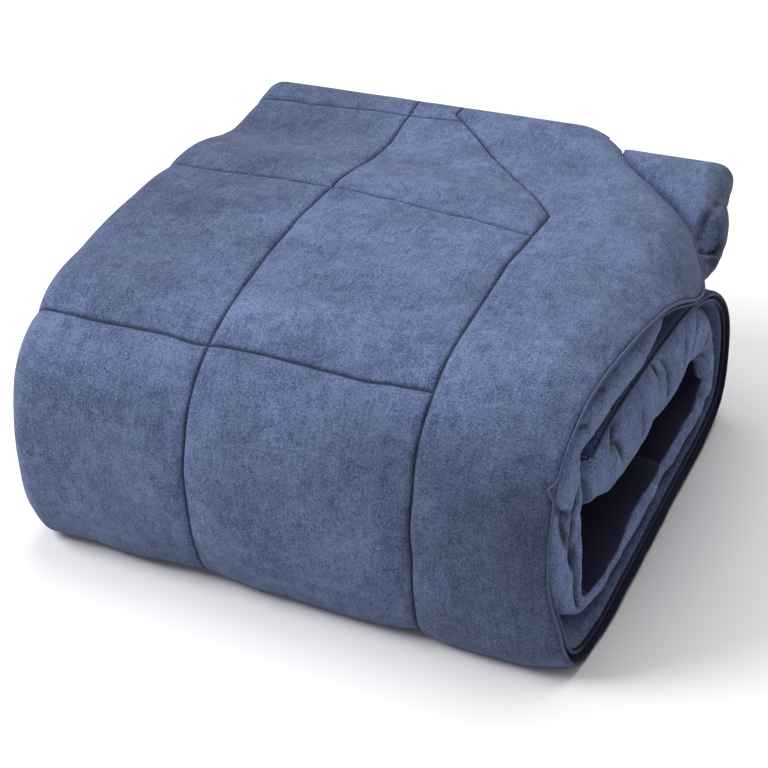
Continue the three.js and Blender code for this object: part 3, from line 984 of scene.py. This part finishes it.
# %% Turn the rings into one closed mesh
def end_faces(ring):
    """Triangles that close a ribbon-shaped end, taken in turn along its two long sides."""
    near, far = 0, len(ring) - 1
    found = []
    while far - near > 1:
        ahead = np.linalg.norm(ring[near + 1] - ring[far])
        behind = np.linalg.norm(ring[near] - ring[far - 1])
        step_near = ahead < behind
        found.append((near, near + 1 if step_near else far - 1, far))
        near, far = (near + 1, far) if step_near else (near, far - 1)
    return found


def skin(rings):
    """Faces between each ring and the next, and over the first and the last."""
    count, around = rings.shape[:2]
    first = np.arange(around)
    after = np.roll(first, -1)
    faces = []
    for low in range(0, (count - 1) * around, around):
        high = low + around
        faces.extend(np.stack([low + first, low + after, high + after, high + first], -1).tolist())
    last = (count - 1) * around
    faces.extend((a, c, b) for a, b, c in end_faces(rings[0]))
    faces.extend((last + a, last + b, last + c) for a, b, c in end_faces(rings[-1]))
    return faces


# %% Let the rows of quilting wander, and make the padded body
ROW_WOBBLE, ROW_REACH, WANDER_STEP, WANDER_APART = 2.4, 24, 36, 50
ROW_DIP, DIP_SPAN, DIP_IN, DIP_OUT, DIP_OVER = 9, 50, 30, 4, 60


def row_shift(distance, x):
    """How far the seams across the quilt wander along it, as a shift of the outer face around them."""
    nearest = nearest_row(distance)
    low, high = x.min(1)[:, None], x.max(1)[:, None]
    inside = on_stretch(x, low, low + ROW_REACH, high - ROW_REACH, high)
    wander = ROW_WOBBLE * bell(distance, nearest, ROW_REACH) * inside
    wander = wander * noise(x / WANDER_STEP, nearest / WANDER_APART, seed=53)
    across = on_stretch(x, SEAM_ONE + DIP_IN, SEAM_TWO, SEAM_TWO + DIP_OUT, SEAM_TWO + DIP_OVER)
    return wander + ROW_DIP * bell(distance, ROWS[1], DIP_SPAN) * across


along = distances[:, None]
stitched = ring_names == "face"
shift = np.zeros(ring_x.shape)
shift[:, stitched] = row_shift(along, ring_x[:, stitched])
rings = place(along + shift, ring_x, ring_height)
quilt = mesh_object("quilt_body", rings, skin(rings))
print("faces of the padded body:", len(quilt.data.polygons))

# %% [markdown]
# The material has to know where it is on the cloth: how near a stitched line, for the painted shade in its
# groove; whether it is on the navy reverse or in the hollow's painted shade; how much painted light or shade
# it takes; and how deep in a crease. All four are kept on the mesh's points. A UV map holds the place on the
# flat sheet, in metres, so that the nap can run along the quilt however it is folded.

# %% How near a stitched line, for the painted shade in its groove
STITCH_REACH = 1.4
nearness = np.full(ring_x.shape, FAR_OFF)
nearness[:, stitched] = needlework(along, ring_x[:, stitched])[1]
nearness[:, np.isin(ring_names, ["left", "inner_face"])] = np.abs(along - nearest_row(along))
stitch_near = np.exp(-((nearness / STITCH_REACH) ** 2))
print("points on a stitched line:", int((stitch_near > 0.5).sum()))

# %% Where the navy reverse shows, and painted shade in the hollow
# The reverse sides are navy. The innermost face and the fold, up to a place part of the way round it, are
# painted navy as painted shade in the hollow, and the nose of the open edge turns navy along the bottom
FOLD_SHADE_AT = [0, 540, 600, 700, 761, 828, 867, 943, 1032, 1115, 1158, 1201, 1258, 1400, LENGTH]
FOLD_SHADE_SHARE = [-1, -1, 0.06, 0.1, 0.34, 0.37, 0.36, 0.26, 0.32, 0.25, 0.27, 0.22, 0.14, 0.06, 0.05]
FOLD_SHADE_WANDER, FOLD_SHADE_STEP, FOLD_SHADE_SOFT = 0.03, 19, 0.02
BOTTOM_FROM, BOTTOM_TO = 735, 775
REVERSE_PEEK = [[170, 0.68 * ROUND_LENGTH, 132, 0.43 * ROUND_LENGTH, 1.0, 5.5]]
PEEK_STRENGTH, PEEK_FROM, PEEK_TO = 0.85, 0.35, 0.75

folded = ring_names == "right_fold"
round_fold = FOLD_SHARES[None, :]
limit = np.interp(distances, FOLD_SHADE_AT, FOLD_SHADE_SHARE)[:, None]
limit = limit + FOLD_SHADE_WANDER * noise(along / FOLD_SHADE_STEP, 0.5, seed=21)
peek = trough_depth(REVERSE_PEEK, along, round_fold * ROUND_LENGTH)
navy_and_shade_mask = np.zeros(ring_x.shape)
# The innermost face is the blue face cloth, painted navy here as painted shade in the hollow
navy_and_shade_mask[:, np.isin(ring_names, ["second_reverse", "first_reverse", "hidden", "inner_face"])] = 1
navy_and_shade_mask[:, ring_names == "nose"] = smoothstep(along, BOTTOM_FROM, BOTTOM_TO)
navy_and_shade_mask[:, folded] = np.maximum(1 - smoothstep(round_fold, limit - FOLD_SHADE_SOFT, limit + FOLD_SHADE_SOFT),
                             PEEK_STRENGTH * smoothstep(peek, PEEK_FROM, PEEK_TO))
print("navy share of the points:", round(float(navy_and_shade_mask.mean()), 2))

# %% Painted light and shade, and an uneven nap
# Painted light on most of the fold; painted shade on the fold's start by the corner, on the left of the top
# and on the right of the front; and a little random unevenness in the nap
PAINTED_LIGHT_EVEN, PAINTED_LIGHT_FOLD, PAINTED_SHADE_CORNER, PAINTED_SHADE_FRONT, PAINTED_SHADE_LEFT = 0.62, 0.98, 0.42, 0.42, 0.43
TOP_FADES, TOP_ENDS, LEFT_FADES, LEFT_ENDS = 470, 560, -230, -60
FRONT_SHADE_STRETCH, FRONT_SHADE_FROM, FRONT_SHADE_TO = (540, 600, 730, 760), 60, 230
CORNER_SHADE_FADES, CORNER_SHADE_ENDS = 160, 420
NAP_UNEVEN, NAP_STEP = 0.07, 45

on_left = (1 - smoothstep(along, TOP_FADES, TOP_ENDS)) * (1 - smoothstep(ring_x, LEFT_FADES, LEFT_ENDS))
on_front = on_stretch(along, *FRONT_SHADE_STRETCH) * smoothstep(ring_x, FRONT_SHADE_FROM, FRONT_SHADE_TO)
painted_light_and_nap = PAINTED_LIGHT_EVEN + (PAINTED_SHADE_LEFT - PAINTED_LIGHT_EVEN) * on_left + (PAINTED_SHADE_FRONT - PAINTED_LIGHT_EVEN) * on_front
painted_light_and_nap[:, folded] = lerp(PAINTED_SHADE_CORNER, PAINTED_LIGHT_FOLD, smoothstep(along, CORNER_SHADE_FADES, CORNER_SHADE_ENDS))
painted_light_and_nap = np.clip(painted_light_and_nap + NAP_UNEVEN * noise(along / NAP_STEP, ring_x / NAP_STEP, seed=41), 0, 1)
print("nap from", round(float(painted_light_and_nap.min()), 2), "to", round(float(painted_light_and_nap.max()), 2))

# %% Shadow in the creases
# The bottom of a crease lies in the shadow of its own nap, and past a certain depth it grows no darker
DEEP_CREASE = 6.5
CREASE_DARK, CREASE_FROM, CREASE_TO = 0.95, 0.16, 0.62
WRINKLE_DARK, WRINKLE_FROM, WRINKLE_TO = 0.5, 0.5, 2.4

darkest = FOLD_TROUGHS.copy()
darkest[:, 4] = np.minimum(darkest[:, 4] / DEEP_CREASE, 1)
in_crease = trough_depth(darkest, along, round_fold * ROUND_LENGTH)
in_wrinkle = trough_depth(WRINKLES, along, ring_x[:, stitched])
shadow = np.zeros(ring_x.shape)
shadow[:, folded] = CREASE_DARK * smoothstep(in_crease, CREASE_FROM, CREASE_TO)
shadow[:, stitched] = WRINKLE_DARK * smoothstep(in_wrinkle, WRINKLE_FROM, WRINKLE_TO)
print("points in a crease's shadow:", int((shadow > 0.5).sum()))


# %% Keep it all on the mesh
def keep_on_points(piece, name, values):
    layer = piece.data.attributes.new(name, "FLOAT", "POINT")
    layer.data.foreach_set("value", np.asarray(values, np.float32).ravel())


kept = {"stitch_near": stitch_near, "crease_shadow": shadow, "navy_and_painted_shade": navy_and_shade_mask, "painted_light_and_nap": painted_light_and_nap}
for name, values in kept.items():
    keep_on_points(quilt, name, values)
flat_place = np.stack([ring_x, np.repeat(along, ring_x.shape[1], 1)], -1).reshape(-1, 2) * MM
corners = np.empty(len(quilt.data.loops), np.int32)
quilt.data.loops.foreach_get("vertex_index", corners)
flat_map = quilt.data.uv_layers.new(name="flat_sheet")
flat_map.data.foreach_set("uv", flat_place[corners].ravel().astype(np.float32))
print("kept on the points:", list(kept), "and the UV map", flat_map.name)

# %% [markdown]
# ## Piping
#
# The quilt's edges are finished with a narrow corded seam. Along the open edges it is the line that shows
# best from the right. At the quilt's two sewn ends it crosses the fold and goes round with every ply.

# %% A tube along a line
PIPING_RADIUS, PIPING_SIDES, PIPING_GAP = 1.8, 10, -0.7


def tube(name, centres, across, up):
    centres[:, 2] = np.maximum(centres[:, 2], (PIPING_RADIUS + PIPING_GAP) * MM)
    angle = 2 * math.pi * np.arange(PIPING_SIDES) / PIPING_SIDES
    ring = np.cos(angle)[None, :, None] * across[:, None, :] + np.sin(angle)[None, :, None] * up[:, None, :]
    around = centres[:, None, :] + PIPING_RADIUS * MM * ring
    return mesh_object(name, around, skin(around))


def unit(v):
    return v / np.linalg.norm(v, axis=-1, keepdims=True)


def outward(distance, x, height):
    return unit(place(distance, x, height + 1) - place(distance, x, height))


print("piping", 2 * PIPING_RADIUS, "thick, sunk into the cloth by", -PIPING_GAP)

# %% The piping of the two open edges
# The upper one is tucked under the flap, wobbles a little and is pinched at one place in front
TUCK_IN, TUCK_UNDER, TUCK_FADES, TUCK_ENDS = 8, 7, 70, 160
PIPING_WOBBLE, WOBBLE_STEP = 0.5, 17
PINCH_AT, PINCH_SPAN, PINCH_IN, PINCH_OUT = 590, 5, 6, 5.5
NAVY_STRETCH = (BOTTOM_FROM, BOTTOM_TO, 1330, 1400)


def edge_piping(name, welt, set_back):
    distance = distances[2:-2]
    section = Section(distance)
    x = section.edge - set_back + EDGE_NOSE + PIPING_GAP + PIPING_RADIUS
    height = getattr(section, welt) - droop(x, distance)
    if welt == "upper":
        tucked = 1 - smoothstep(distance, TUCK_FADES, TUCK_ENDS)
        pinched = bell(distance, PINCH_AT, PINCH_SPAN)
        wobble = PIPING_WOBBLE * noise(distance / WOBBLE_STEP, 0.3, seed=31)
        x = x - TUCK_IN * tucked + wobble - PINCH_IN * pinched
        height = height - TUCK_UNDER * tucked + PINCH_OUT * pinched
    centres = place(distance, x, height)
    across = np.broadcast_to([1.0, 0, 0], centres.shape)
    piece = tube(name, centres, across, outward(distance, x, height))
    # Along the bottom stretch the piping takes the darkened navy, kept in the same mask as the painted shade
    keep_on_points(piece, "navy_and_painted_shade", np.repeat(on_stretch(distance, *NAVY_STRETCH), PIPING_SIDES))
    return piece


pipings = {"edge_piping_upper": edge_piping("upper_piping", "upper", 0),
           "edge_piping_lower": edge_piping("lower_piping", "lower", SECOND_SET_BACK)}
print("edge piping faces:", {name: len(piece.data.polygons) for name, piece in pipings.items()})

# %% The piping of the two sewn ends
# It follows the middle of every ply in turn, round the same folds as the cloth
END_GAP, END_INSET, CORNER_INSET = 2.2, 3, 12
OUTER_REACH, RIGHT_REACH, INNER_REACH = 21, 15, 12


def end_route(s, inset):
    """The places, x and height, that the piping goes through across a sewn end."""
    def middle(ply):
        return lambda x: np.ravel(sum(ply(np.reshape(x, (1, -1)))) / 2)

    first, second, third, fourth = (middle(ply) for ply in (s.first, s.second, s.third, s.fourth))
    left, edge, right = (float(v[0, 0]) for v in (s.left, s.edge, s.right))
    second_x, arc_x = left + SECOND_START, right + RIGHT_HOLLOW

    def straight(low, high, count, ply):
        x = np.linspace(low, high, count)
        return np.stack([x, ply(x)], 1)

    def turn(x, from_ply, to_ply, reach, count):
        start, end = (float(ply(np.array([x]))[0]) for ply in (from_ply, to_ply))
        turned_x, height = round_end(np.full((1, 1), x), start, end, reach, count)
        return np.stack([np.ravel(turned_x), np.ravel(height)], 1)

    return np.concatenate([
        straight(edge - inset, left, 60, first),
        turn(left, first, fourth, -OUTER_REACH, 14),
        straight(left, arc_x, 30, fourth),
        turn(arc_x, fourth, third, RIGHT_REACH, 12),
        straight(arc_x, second_x, 40, third),
        turn(second_x, third, second, -INNER_REACH, 10),
        straight(second_x, edge - END_INSET - SECOND_SET_BACK, 40, second),
    ])


def end_piping(name, distance, side, inset):
    route = end_route(Section(np.array([[distance]], float)), inset)
    x, height = route[:, 0], route[:, 1]
    ahead = np.gradient(route, axis=0)
    flat = unit(np.stack([-ahead[:, 1], ahead[:, 0]], 1))
    place_at = np.full(len(x), distance + side * END_GAP)
    over = outward(place_at, x, height)
    across = unit(np.stack([flat[:, 0], over[:, 1] * flat[:, 1], over[:, 2] * flat[:, 1]], 1))
    return tube(name, place(place_at, x, height), across, unit(np.cross([1.0, 0, 0], over)))


pipings["end_piping_outer"] = end_piping("outer_end_piping", 0, -1, END_INSET + CORNER_INSET)
pipings["end_piping_inner"] = end_piping("inner_end_piping", LENGTH, 1, END_INSET)
print("all piping faces:", sum(len(piece.data.polygons) for piece in pipings.values()))

# %% [markdown]
# ## Stitches
#
# A lockstitch shows as a row of short, tight beads of thread, each in a dent of its own. There are some
# seventeen hundred, all alike, so Geometry Nodes set them out: the seams are drawn as lines on the cloth, the
# lines are divided into even steps, and a bead lies on each step, turned along its line.

# %% Lines on the cloth where the seams run
STITCH_LIFT = 0.25
column_two = len(TWO_TO_EDGE) - 1
column_one = column_two + len(ONE_TO_TWO) - 1
last_left = np.flatnonzero(ring_names == "left")[-1]
normals = np.empty(len(quilt.data.vertices) * 3, np.float32)
quilt.data.vertex_normals.foreach_get("vector", normals)
lifted = rings + normals.reshape(rings.shape) * STITCH_LIFT * MM
row_numbers = [int(np.argmin(np.abs(distances - row))) for row in ROWS]
lines = [lifted[3:-3, column_two], lifted[3:-3, column_one]]
lines += [lifted[number, column_two + 1:last_left] for number in row_numbers]

seam_mesh = bpy.data.meshes.new("seam lines")
points, edges = [], []
for line in lines:
    start = len(points)
    points.extend(line.tolist())
    edges.extend((start + k, start + k + 1) for k in range(len(line) - 1))
seam_mesh.from_pydata(points, edges, [])
seams = bpy.data.objects.new("seam lines", seam_mesh)
bpy.context.scene.collection.objects.link(seams)
print("seam lines:", len(lines), "points:", len(points))


# %% [markdown]
# ## Materials
#
# The face is brushed, like suede: short fibres that lie in slightly different directions. That reads as fine
# flecks on soft clouds, with faint streaks along the quilt and very little shine. The colour expressions are
# written in Python through a small class that wraps a node's socket.

# %% Sockets that take part in expressions
class Socket:
    def __init__(self, tree, socket=None):
        self.tree, self.socket = tree, socket

    def node(self, kind, output=0, settings=(), **inputs):
        """Add any node. Inputs are given by name, with an underscore for a space."""
        made = self.tree.nodes.new(kind)
        for name, value in dict(settings).items():
            setattr(made, name, value)
        for name, value in inputs.items():
            wanted = name.replace("_", " ")
            slot = next(s for s in made.inputs if s.name == wanted and s.enabled)
            self.feed(slot, value)
        return Socket(self.tree, made.outputs[output])

    def feed(self, slot, value):
        if isinstance(value, Socket):
            self.tree.links.new(value.socket, slot)
        else:
            slot.default_value = value

    def maths(self, operation, *values):
        made = self.tree.nodes.new("ShaderNodeMath")
        made.operation = operation
        for slot, value in zip(made.inputs, values):
            self.feed(slot, value)
        return Socket(self.tree, made.outputs[0])

    def __add__(self, other):
        return self.maths("ADD", self, other)

    def __radd__(self, other):
        return self.maths("ADD", other, self)

    def __mul__(self, other):
        return self.maths("MULTIPLY", self, other)

    def __rmul__(self, other):
        return self.maths("MULTIPLY", other, self)

    def between(self, low, high):
        """Nought below low, one above high, and even between them."""
        return self.node("ShaderNodeMapRange", settings={"clamp": True},
                         Value=self, From_Min=low, From_Max=high)

    def mix(self, first, second):
        """Two colours, mixed by this socket."""
        return self.node("ShaderNodeMix", output=2, settings={"data_type": "RGBA"},
                         Factor=self, A=first, B=second)

    def kept(self, name):
        """A value that is kept on the mesh's points."""
        return self.node("ShaderNodeAttribute", output="Fac", settings={"attribute_name": name})

    def unevenness(self, vector, scale, detail, roughness=0.5):
        return self.node("ShaderNodeTexNoise", Vector=vector, Scale=scale, Detail=detail, Roughness=roughness)


def colour(red, green, blue):
    return (red, green, blue, 1)


DULL_GLOSS, SHEEN_ROUGHNESS = 0.25, 0.6


def material(name, roughness, sheen=0.0):
    paint = bpy.data.materials.new(name)
    paint.use_nodes = True
    shader = paint.node_tree.nodes["Principled BSDF"]
    shader.inputs["Roughness"].default_value = roughness
    shader.inputs["Specular IOR Level"].default_value = DULL_GLOSS
    shader.inputs["Sheen Weight"].default_value = sheen
    shader.inputs["Sheen Roughness"].default_value = SHEEN_ROUGHNESS
    return paint, Socket(paint.node_tree), shader


print("white as a colour:", colour(1, 1, 1))

# %% Brushed cloth, with painted light and shade
FACE_LIGHT, FACE_DARK = colour(0.2, 0.27, 0.485), colour(0.054, 0.08, 0.178)
# A navy darkened close to black: partly the reverse's colour and partly painted shade for the deep hollow
SHADED_NAVY_LIGHT, SHADED_NAVY_DARK = colour(0.006, 0.0078, 0.034), colour(0.003, 0.004, 0.019)
# Painted shade: one dark blue for the seams' grooves and another for the creases
SEAM_SHADE_COLOUR, CREASE_COLOUR = colour(0.01, 0.015, 0.04), colour(0.008, 0.011, 0.027)
FLECKS, PATCHES, CLOUDS, STREAKS = 0.6, 0.18, 0.12, 0.1
DARKEST_TONE, LIGHTEST_TONE, SEAM_SHADE_STRENGTH = 0.41, 0.59, 0.85
STREAK_SCALE = (320.0, 42.0, 1.0)
RELIEF_STRENGTH, RELIEF_DEPTH, PATCH_RELIEF = 0.5, 0.0006, 0.6

cloth_paint, start, shader = material("brushed cloth", roughness=0.92, sheen=0.05)
where = start.node("ShaderNodeTexCoord", output="Object")
flat = start.node("ShaderNodeUVMap", settings={"uv_map": "flat_sheet"})
along_quilt = start.node("ShaderNodeMapping", Vector=flat, Scale=STREAK_SCALE)
flecks = start.unevenness(where, scale=560.0, detail=3.0, roughness=0.7)
patches = start.unevenness(where, scale=75.0, detail=3.0, roughness=0.6)
clouds = start.unevenness(where, scale=17.0, detail=2.0)
streaks = start.unevenness(along_quilt, scale=1.0, detail=2.0)
tone = flecks * FLECKS + patches * PATCHES + clouds * CLOUDS + streaks * STREAKS
shade = tone.between(DARKEST_TONE, LIGHTEST_TONE)
# Painted light and shade: the face colour is scaled toward black by the kept multiplier
face_colour = start.kept("painted_light_and_nap").mix(colour(0, 0, 0), shade.mix(FACE_DARK, FACE_LIGHT))
# Painted shade in the narrow groove of each stitched line
face_colour = (start.kept("stitch_near") * SEAM_SHADE_STRENGTH).mix(face_colour, SEAM_SHADE_COLOUR)
face_colour = start.kept("crease_shadow").mix(face_colour, CREASE_COLOUR)
shaded_navy_colour = shade.mix(SHADED_NAVY_DARK, SHADED_NAVY_LIGHT)
# The kept mask mixes in that navy: the navy reverse, and painted shade in the hollow
start.feed(shader.inputs["Base Color"], start.kept("navy_and_painted_shade").mix(face_colour, shaded_navy_colour))
relief = flecks + patches * PATCH_RELIEF
bump = start.node("ShaderNodeBump", Strength=RELIEF_STRENGTH, Distance=RELIEF_DEPTH, Height=relief)
start.feed(shader.inputs["Normal"], bump)
quilt.data.materials.append(cloth_paint)
print("nodes in the cloth's material:", len(cloth_paint.node_tree.nodes))

# %% Piping and thread
CORD_LIGHT, CORD_DARK = colour(0.085, 0.117, 0.21), colour(0.034, 0.048, 0.1)
THREAD_COLOUR, DARKEST_GRAIN, LIGHTEST_GRAIN = colour(0.02, 0.028, 0.065), 0.3, 0.7

piping_paint, start, shader = material("piping cloth", roughness=0.85, sheen=0.05)
where = start.node("ShaderNodeTexCoord", output="Object")
grain = start.unevenness(where, scale=500.0, detail=2.0)
cord_colour = grain.between(DARKEST_GRAIN, LIGHTEST_GRAIN).mix(CORD_DARK, CORD_LIGHT)
# Darkened navy on the stretch that the kept mask marks along the bottom
start.feed(shader.inputs["Base Color"], start.kept("navy_and_painted_shade").mix(cord_colour, SHADED_NAVY_LIGHT))
for piece in pipings.values():
    piece.data.materials.append(piping_paint)
thread_paint, start, shader = material("thread", roughness=0.6)
shader.inputs["Base Color"].default_value = THREAD_COLOUR
print("materials:", [paint.name for paint in bpy.data.materials])


# %% A tree that lays beads of thread along lines
BEAD_SEGMENTS, BEAD_RINGS = 6, 4
SMALLEST_BEAD, LARGEST_BEAD = 0.8, 1.2


def stitch_tree():
    tree = bpy.data.node_groups.new("stitches along lines", "GeometryNodeTree")
    tree.is_modifier = True
    interface = tree.interface
    interface.new_socket("Geometry", in_out="INPUT", socket_type="NodeSocketGeometry")
    named = [("Pitch", "NodeSocketFloat"), ("Length", "NodeSocketFloat"), ("Thickness", "NodeSocketFloat"),
             ("Seed", "NodeSocketInt"), ("Thread", "NodeSocketMaterial")]
    sockets = {name: interface.new_socket(name, in_out="INPUT", socket_type=kind) for name, kind in named}
    interface.new_socket("Geometry", in_out="OUTPUT", socket_type="NodeSocketGeometry")
    new, link = tree.nodes.new, tree.links.new
    start, end = new("NodeGroupInput"), new("NodeGroupOutput")
    curve, steps = new("GeometryNodeMeshToCurve"), new("GeometryNodeCurveToPoints")
    steps.mode = "LENGTH"
    bead = new("GeometryNodeMeshUVSphere")
    bead.inputs["Segments"].default_value = BEAD_SEGMENTS
    bead.inputs["Rings"].default_value = BEAD_RINGS
    bead.inputs["Radius"].default_value = 1.0
    size, shaped = new("ShaderNodeCombineXYZ"), new("GeometryNodeTransform")
    laid, vary = new("GeometryNodeInstanceOnPoints"), new("FunctionNodeRandomValue")
    vary.data_type = "FLOAT"
    vary.inputs[2].default_value = SMALLEST_BEAD
    vary.inputs[3].default_value = LARGEST_BEAD
    real, painted = new("GeometryNodeRealizeInstances"), new("GeometryNodeSetMaterial")
    link(start.outputs["Geometry"], curve.inputs["Mesh"])
    link(curve.outputs["Curve"], steps.inputs["Curve"])
    link(start.outputs["Pitch"], steps.inputs["Length"])
    for axis, name in zip("XYZ", ("Thickness", "Thickness", "Length")):
        link(start.outputs[name], size.inputs[axis])
    link(bead.outputs["Mesh"], shaped.inputs["Geometry"])
    link(size.outputs["Vector"], shaped.inputs["Scale"])
    link(steps.outputs["Points"], laid.inputs["Points"])
    link(shaped.outputs["Geometry"], laid.inputs["Instance"])
    link(steps.outputs["Rotation"], laid.inputs["Rotation"])
    link(start.outputs["Seed"], vary.inputs["Seed"])
    link(vary.outputs[1], laid.inputs["Scale"])
    link(laid.outputs["Instances"], real.inputs["Geometry"])
    link(real.outputs["Geometry"], painted.inputs["Geometry"])
    link(start.outputs["Thread"], painted.inputs["Material"])
    link(painted.outputs["Geometry"], end.inputs["Geometry"])
    return tree, {name: socket.identifier for name, socket in sockets.items()}

print("a bead has", BEAD_SEGMENTS * BEAD_RINGS, "faces")

# %% Sew the stitches
STITCH_PITCH, STITCH_LENGTH, STITCH_THICKNESS, STITCH_SEED = 4.2, 1.55, 0.5, 3

tree, identifiers = stitch_tree()
sewing = seams.modifiers.new("sewing", "NODES")
sewing.node_group = tree
values = {"Pitch": STITCH_PITCH * MM, "Length": STITCH_LENGTH * MM, "Thickness": STITCH_THICKNESS * MM,
          "Seed": STITCH_SEED, "Thread": thread_paint}
for name, value in values.items():
    sewing[identifiers[name]] = value
sewn = seams.evaluated_get(bpy.context.evaluated_depsgraph_get())
stitches = bpy.data.objects.new("stitches", bpy.data.meshes.new_from_object(sewn))
bpy.context.scene.collection.objects.link(stitches)
bpy.data.objects.remove(seams)
print("stitches:", len(stitches.data.polygons) // (BEAD_SEGMENTS * BEAD_RINGS))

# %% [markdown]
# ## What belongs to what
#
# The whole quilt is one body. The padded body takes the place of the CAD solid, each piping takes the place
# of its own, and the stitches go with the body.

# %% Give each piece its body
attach(quilt, "root")
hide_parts("quilted_body")
for node, piece in pipings.items():
    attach(piece, "root")
    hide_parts(node)
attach(stitches, "root")
print("pieces with a body:", 2 + len(pipings))

# %% [markdown]
# ## Studio
#
# A white studio: a pale floor, a white world for the soft fill and two large lamps. The first stands to the
# left in front, so that the top and the front are bright and the right end falls off into shade.

# %% Floor, light and camera
CAMERA_PLACE = (0.78457, -1.87034, 1.32163)
CAMERA_TURN, CAMERA_DOWN, CAMERA_LENS, SENSOR = 23.31, 30.94, 101.8, 36
FLOOR_HALF, FLOOR_LEVEL, FLOOR_GREY, WORLD_LIGHT = 12, -0.0005, 0.86, 0.38


def area_light(name, place_at, target, size, power):
    lamp = bpy.data.lights.new(name, "AREA")
    lamp.shape = "DISK"
    lamp.size = size
    lamp.energy = power
    holder = bpy.data.objects.new(name, lamp)
    holder.location = place_at
    holder.rotation_euler = (Vector(target) - Vector(place_at)).to_track_quat("-Z", "Y").to_euler()
    bpy.context.scene.collection.objects.link(holder)


floor_corners = ((-1, -1), (1, -1), (1, 1), (-1, 1))
floor_points = [(FLOOR_HALF * a, FLOOR_HALF * b, FLOOR_LEVEL) for a, b in floor_corners]
floor = mesh_object("floor", floor_points, [(0, 1, 2, 3)])
floor_paint, start, shader = material("floor paint", roughness=0.9)
shader.inputs["Base Color"].default_value = colour(FLOOR_GREY, FLOOR_GREY, FLOOR_GREY)
floor.data.materials.append(floor_paint)

world = bpy.data.worlds.new("studio")
world.use_nodes = True
world.node_tree.nodes["Background"].inputs["Color"].default_value = (1, 1, 1, 1)
world.node_tree.nodes["Background"].inputs["Strength"].default_value = WORLD_LIGHT
bpy.context.scene.world = world
area_light("key", place_at=(-2.2, -1.3, 2.5), target=(0, 0, 0.15), size=1.8, power=105)
area_light("top", place_at=(-0.2, 0.7, 3.0), target=(0, 0, 0.2), size=2.6, power=62)

camera_data = bpy.data.cameras.new("camera")
camera_data.sensor_width = SENSOR
camera_data.lens = CAMERA_LENS
camera = bpy.data.objects.new("camera", camera_data)
camera.location = CAMERA_PLACE
camera.rotation_euler = (math.radians(90 - CAMERA_DOWN), 0, math.radians(CAMERA_TURN))
bpy.context.scene.collection.objects.link(camera)
bpy.context.scene.camera = camera
bpy.context.scene.view_settings.view_transform = "Standard"
print("camera, metres from the middle of the floor:", round(Vector(CAMERA_PLACE).length, 2))
